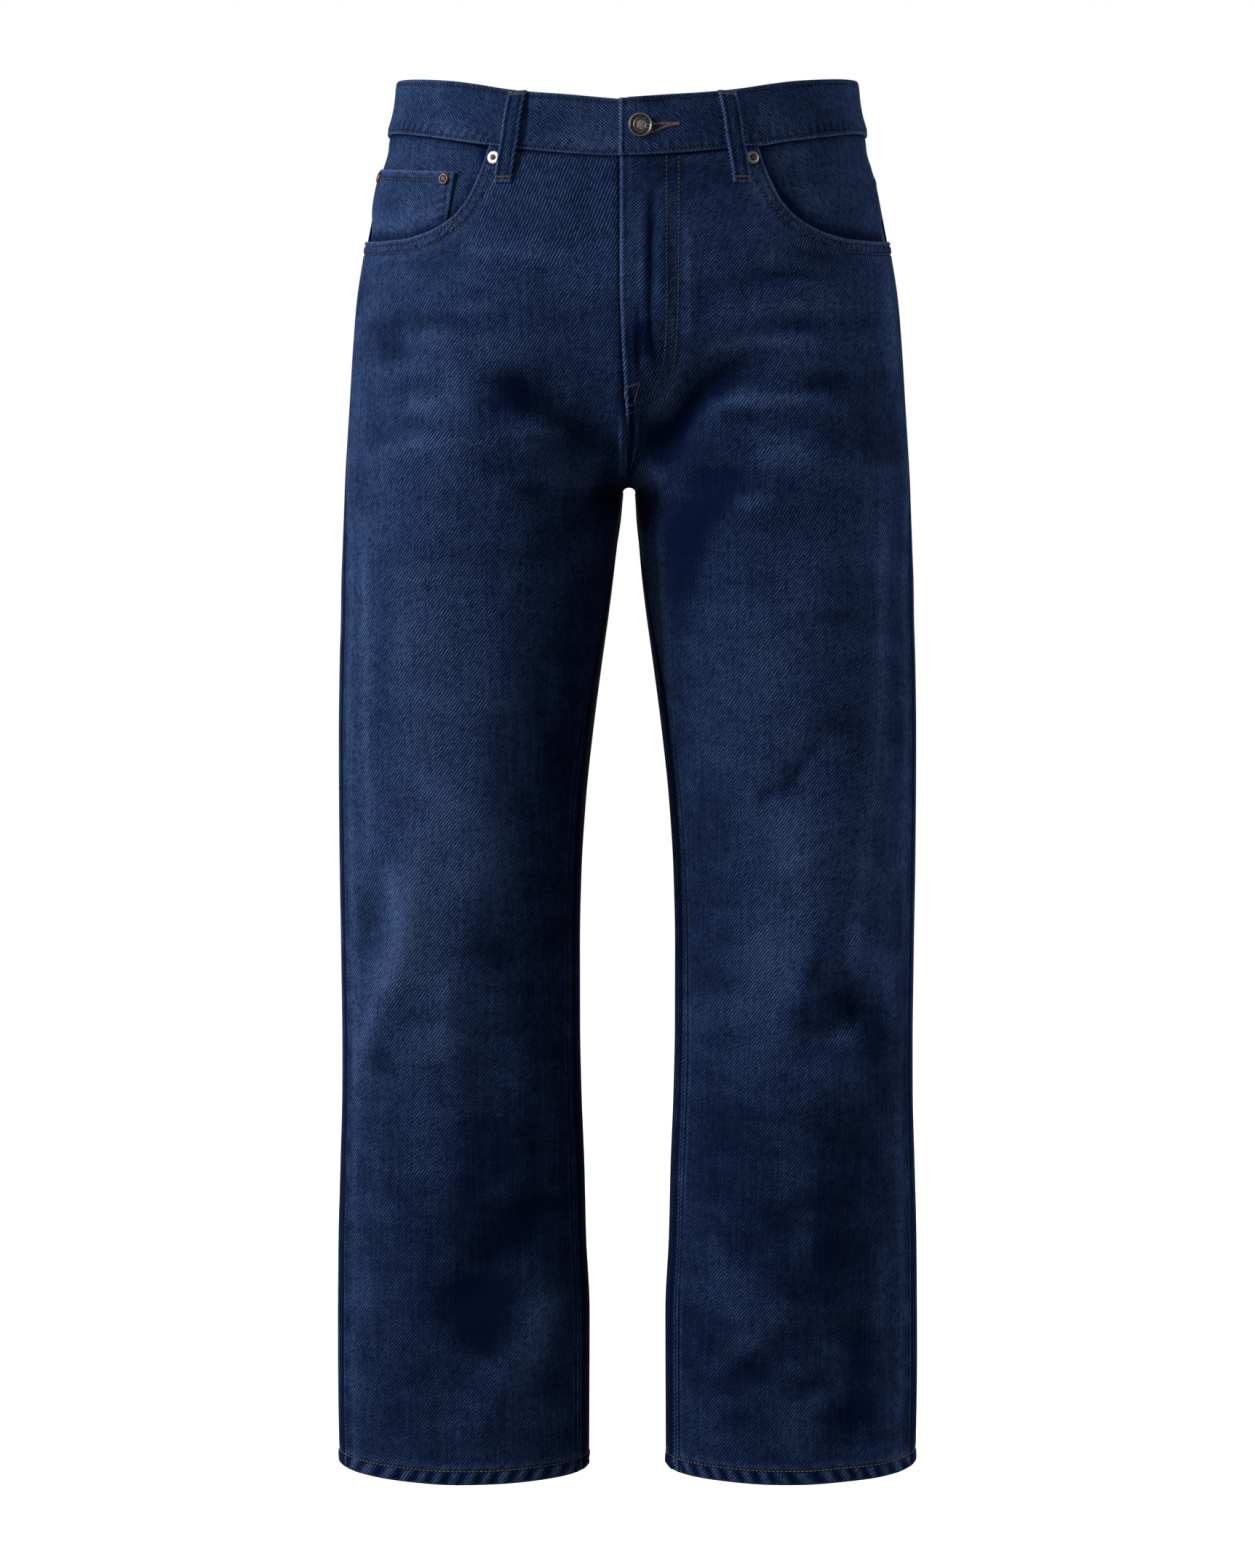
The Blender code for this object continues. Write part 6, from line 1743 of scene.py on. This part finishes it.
@dataclass(frozen=True)
class Loop:
    """A belt loop: its node, side, face, places at the top and the bottom, and its lower end's height."""

    node: str
    side: int
    face: Face
    top: float
    bottom: float
    low_z: float
    width: float = 13.0
    cloth: float = 1.4
    wash: float = 0.42
    lifts: Table = Table(("share", "lift"), ((0.0, 1.35), (0.1, 2.2), (0.3, 3.3), (0.5, 3.5), (0.7, 2.9),
                                            (0.86, 1.6), (1.0, 0.35)))

    def frame_at(self, share: Array) -> tuple[Array, Array, Array]:
        """The loop's middle line.

        Args:
            share: how far down the loop.

        Returns:
            Places, the way across and the outward normals.
        """
        top_z = float(band_top(self.face, self.top)) - 0.5
        z = top_z + (self.low_z - top_z) * share
        place = self.top + (self.bottom - self.top) * share
        points, normals = FORM.surface(self.face, self.side, place, z)
        across = (FORM.smooth(self.face, self.side, place + 0.01, z)
                  - FORM.smooth(self.face, self.side, place, z))
        across /= np.linalg.norm(across, axis=-1, keepdims=True)
        return points, across, normals

    def build(self) -> bpy.types.Object:
        """Make the loop with its two bar tacks."""
        share = spaced(((0.05, 4), (0.95, 40), (1.0, 4)))
        middle, across, normals = self.frame_at(share)
        steps = spaced(((0.08, 4), (0.92, 10), (1.0, 4))) - 0.5
        points = middle[:, None, :] + across[:, None, :] * (steps[None, :, None] * self.width)
        outs = np.broadcast_to(normals[:, None, :], points.shape)
        lift = self.lifts.read("lift", share)[:, None] + self.cloth
        rim = (0.5 - np.abs(steps))[None, :] * self.width
        length = abs(self.low_z - float(band_top(self.face, self.top)))
        ends = np.minimum(share, 1.0 - share)[:, None] * length
        outer = lift - 0.8 * np.exp(-rim / 0.6) - 0.8 * np.exp(-ends / 0.7) + 0.25 * bump(rim, 1.7, 0.8)
        outer = outer - 0.30 * bump(rim, 3.4, 1.0) - 0.5 * bump(ends, 3.0, 1.0)
        # Pale rubbed edges, with painted shade in the groove inside them.
        rub = 0.40 * bump(rim, 0.8, 0.55) - 0.26 * bump(rim, 3.0, 0.9) + 0.5 * bump(ends, 0.9, 0.8)
        sheet = ClothSheet(f"cloth_{self.node}", points, outs, outer, self.cloth, np.array(self.wash), rub,
                           LOOP_DENIM, flip=runs_right(self.face, self.side))
        item = sheet.build()
        sheet.declare(item, (self.node,))
        landing = Landing([item])
        tacks = []
        for at in (0.045, 0.937):
            spot, way, out = self.frame_at(np.array([at]))
            row = spot + way * (np.linspace(-0.42, 0.42, 16)[:, None] * self.width)
            tacks.append(landing.settle(row + out * 3.0, np.repeat(out, 16, axis=0), 0.2))
        BAR_COPPER.sew(f"tacks_{self.node}", tacks, "denim")
        return item


LOOPS = (
    Loop("belt_loop_front_left", LEFT, Face.FRONT, 0.2815, 0.2995, -64.2),
    Loop("belt_loop_front_right", RIGHT, Face.FRONT, 0.2815, 0.2995, -64.2),
    Loop("belt_loop_back_left", LEFT, Face.BACK, 0.60, 0.60, -37.0),
    Loop("belt_loop_back_right", RIGHT, Face.BACK, 0.60, 0.60, -37.0),
    Loop("belt_loop_centre_back", LEFT, Face.BACK, 0.0, 0.0, -39.0),
)


@dataclass
class Button:
    """The shank button: a rim, a flat ring with a plain ring of bars, and a low middle."""

    place: tuple[float, float] = (8.8, -25.2)
    radius: float = 8.5
    bars: int = 30
    bar_ring: float = 5.8

    def build(self) -> bpy.types.Object:
        """Make the button and its ring of bars."""
        x, z = self.place
        half, front = float(HIPS.read("half_width", z)), float(HIPS.read("front", z))
        angle = math.degrees(math.asin(x / half))
        depth = float(rounded(np.array(angle), half, front, 0.0, ROUNDNESS)[1])
        centre, facing = Vector((x, depth, z)), Vector((0.02, -1.0, 0.0)).normalized()
        r = self.radius
        profile = ((0.0, -1.4, 0.2), (3.0, -1.4, 0.2), (3.0, 1.9, 0.6), (r - 1.2, 1.9, 0.6),
                   (r - 0.2, 2.5, 0.3),
                   (r, 3.1, 0.1), (r - 0.15, 3.8, 0.0), (r - 0.6, 4.35, 0.0), (r - 1.1, 4.4, 0.0),
                   (r - 1.5, 4.1, 0.5), (r - 1.8, 3.85, 0.9), (r - 3.6, 3.8, 0.8), (r - 3.9, 4.05, 0.2),
                   (r - 4.3, 4.15, 0.0), (r - 4.7, 3.95, 0.6), (r - 5.2, 3.75, 0.5), (2.0, 3.95, 0.1),
                   (0.0, 4.05, 0.0))
        item = spin("fitting_button", profile, centre, facing, ANTIQUE, 64)
        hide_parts("button")
        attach(item, "root")
        turn = facing.to_track_quat("Z", "Y")
        angles = np.linspace(0.0, 2.0 * math.pi, 4 * self.bars + 1)
        ring = [centre + turn @ Vector((math.cos(a) * self.bar_ring, math.sin(a) * self.bar_ring, 3.95))
                for a in angles]
        outs = np.repeat(np.array([facing]), len(ring), axis=0)
        pitch = 2.0 * math.pi * self.bar_ring / self.bars
        bars = Stitch(ANTIQUE, pitch=pitch, length=1.15, width=0.5, height=0.5, turn=90.0, unevenness=0.0)
        bars.sew("button_bars", [(np.array([list(p) for p in ring]), outs)], "dark_metal")
        return item


# ---------------------------------------------------------------- studio

@dataclass
class Studio:
    """The pale floor, the soft lights and the camera at the photograph's angle."""

    lens: float = 70.0
    distance: float = 2.28
    eye_z: float = -0.2984
    pitch: float = 5.0
    floor_z: float = -1.26
    reach: float = 14.0

    def lamp(self, name: str, spot: tuple[float, float, float], aim: tuple[float, float, float],
             size: tuple[float, float], power: float) -> None:
        """One soft rectangular light that looks at a place."""
        light = bpy.data.lights.new(name, "AREA")
        light.shape = "RECTANGLE"
        light.size, light.size_y = size
        light.energy = power
        item = add_object(name, light)
        item.location = spot
        item.rotation_euler = (Vector(aim) - Vector(spot)).to_track_quat("-Z", "Y").to_euler()

    def floor(self) -> None:
        """A wide plain floor."""
        mesh = bpy.data.meshes.new("floor")
        signs = ((-1, -1), (1, -1), (1, 1), (-1, 1))
        corners = [(x * self.reach, y * self.reach, self.floor_z) for x, y in signs]
        mesh.from_pydata(corners, [], [(0, 1, 2, 3)])
        material, kit, shader = fresh_material("pale_floor")
        seen = kit.node("ShaderNodeLightPath").outputs["Is Camera Ray"]
        kit.feed(shader, {"Base Color": (0.3, 0.3, 0.3, 1.0), "Roughness": 0.9,
                          "Emission Color": (1.0, 1.0, 1.0, 1.0), "Emission Strength": seen})
        mesh.materials.append(material)
        item = add_object("floor", mesh)

    def world(self) -> None:
        """White behind everything, and a weaker soft light from all round."""
        world = bpy.data.worlds.new("studio")
        bpy.context.scene.world = world
        world.use_nodes = True
        kit = GraphKit(world.node_tree)
        world.node_tree.nodes.clear()
        seen = kit.node("ShaderNodeLightPath").outputs["Is Camera Ray"]
        strength = kit.sum("MULTIPLY_ADD", seen, 0.97, 0.03)
        glow = kit.node("ShaderNodeBackground",
                        {"Color": (1.0, 1.0, 1.0, 1.0), "Strength": strength}).outputs[0]
        kit.node("ShaderNodeOutputWorld", {"Surface": glow})

    def camera(self) -> None:
        """The camera at the photograph's viewing angle."""
        data = bpy.data.cameras.new("camera")
        data.lens = self.lens
        data.sensor_width = 36.0
        data.clip_start = 0.05
        item = add_object("camera", data)
        item.location = (0.0, -self.distance, self.eye_z)
        item.rotation_euler = (math.radians(90.0 - self.pitch), 0.0, 0.0)
        bpy.context.scene.camera = item

    def build(self) -> None:
        """Set the whole studio."""
        bpy.context.scene.view_settings.view_transform = "Standard"
        self.floor()
        self.world()
        self.lamp("key", (-2.6, -1.15, 1.0), (0.0, 0.0, -0.40), (0.7, 1.1), 142.0)
        self.lamp("fill", (-0.2, -2.8, 0.5), (0.0, 0.0, -0.5), (1.2, 1.6), 14.0)
        self.lamp("rim_left", (-1.9, 0.6, -0.3), (-0.15, 0.0, -0.5), (0.6, 1.7), 14.0)
        self.lamp("rim_right", (2.1, -0.1, -0.2), (0.15, 0.0, -0.5), (0.6, 1.7), 34.0)
        self.lamp("behind", (0.0, 2.5, 0.5), (0.0, 0.0, -0.5), (1.8, 1.8), 60.0)
        self.camera()


def main() -> None:
    """Build every piece round the frame, then the studio."""
    logging.basicConfig(level=logging.INFO, format="%(message)s")
    Legs().build()
    Yokes().build()
    FrontPockets().build()
    BackPockets().build()
    Waistband().build()
    for loop in LOOPS:
        loop.build()
    Button().build()
    Studio().build()


if __name__ == "__main__":
    main()
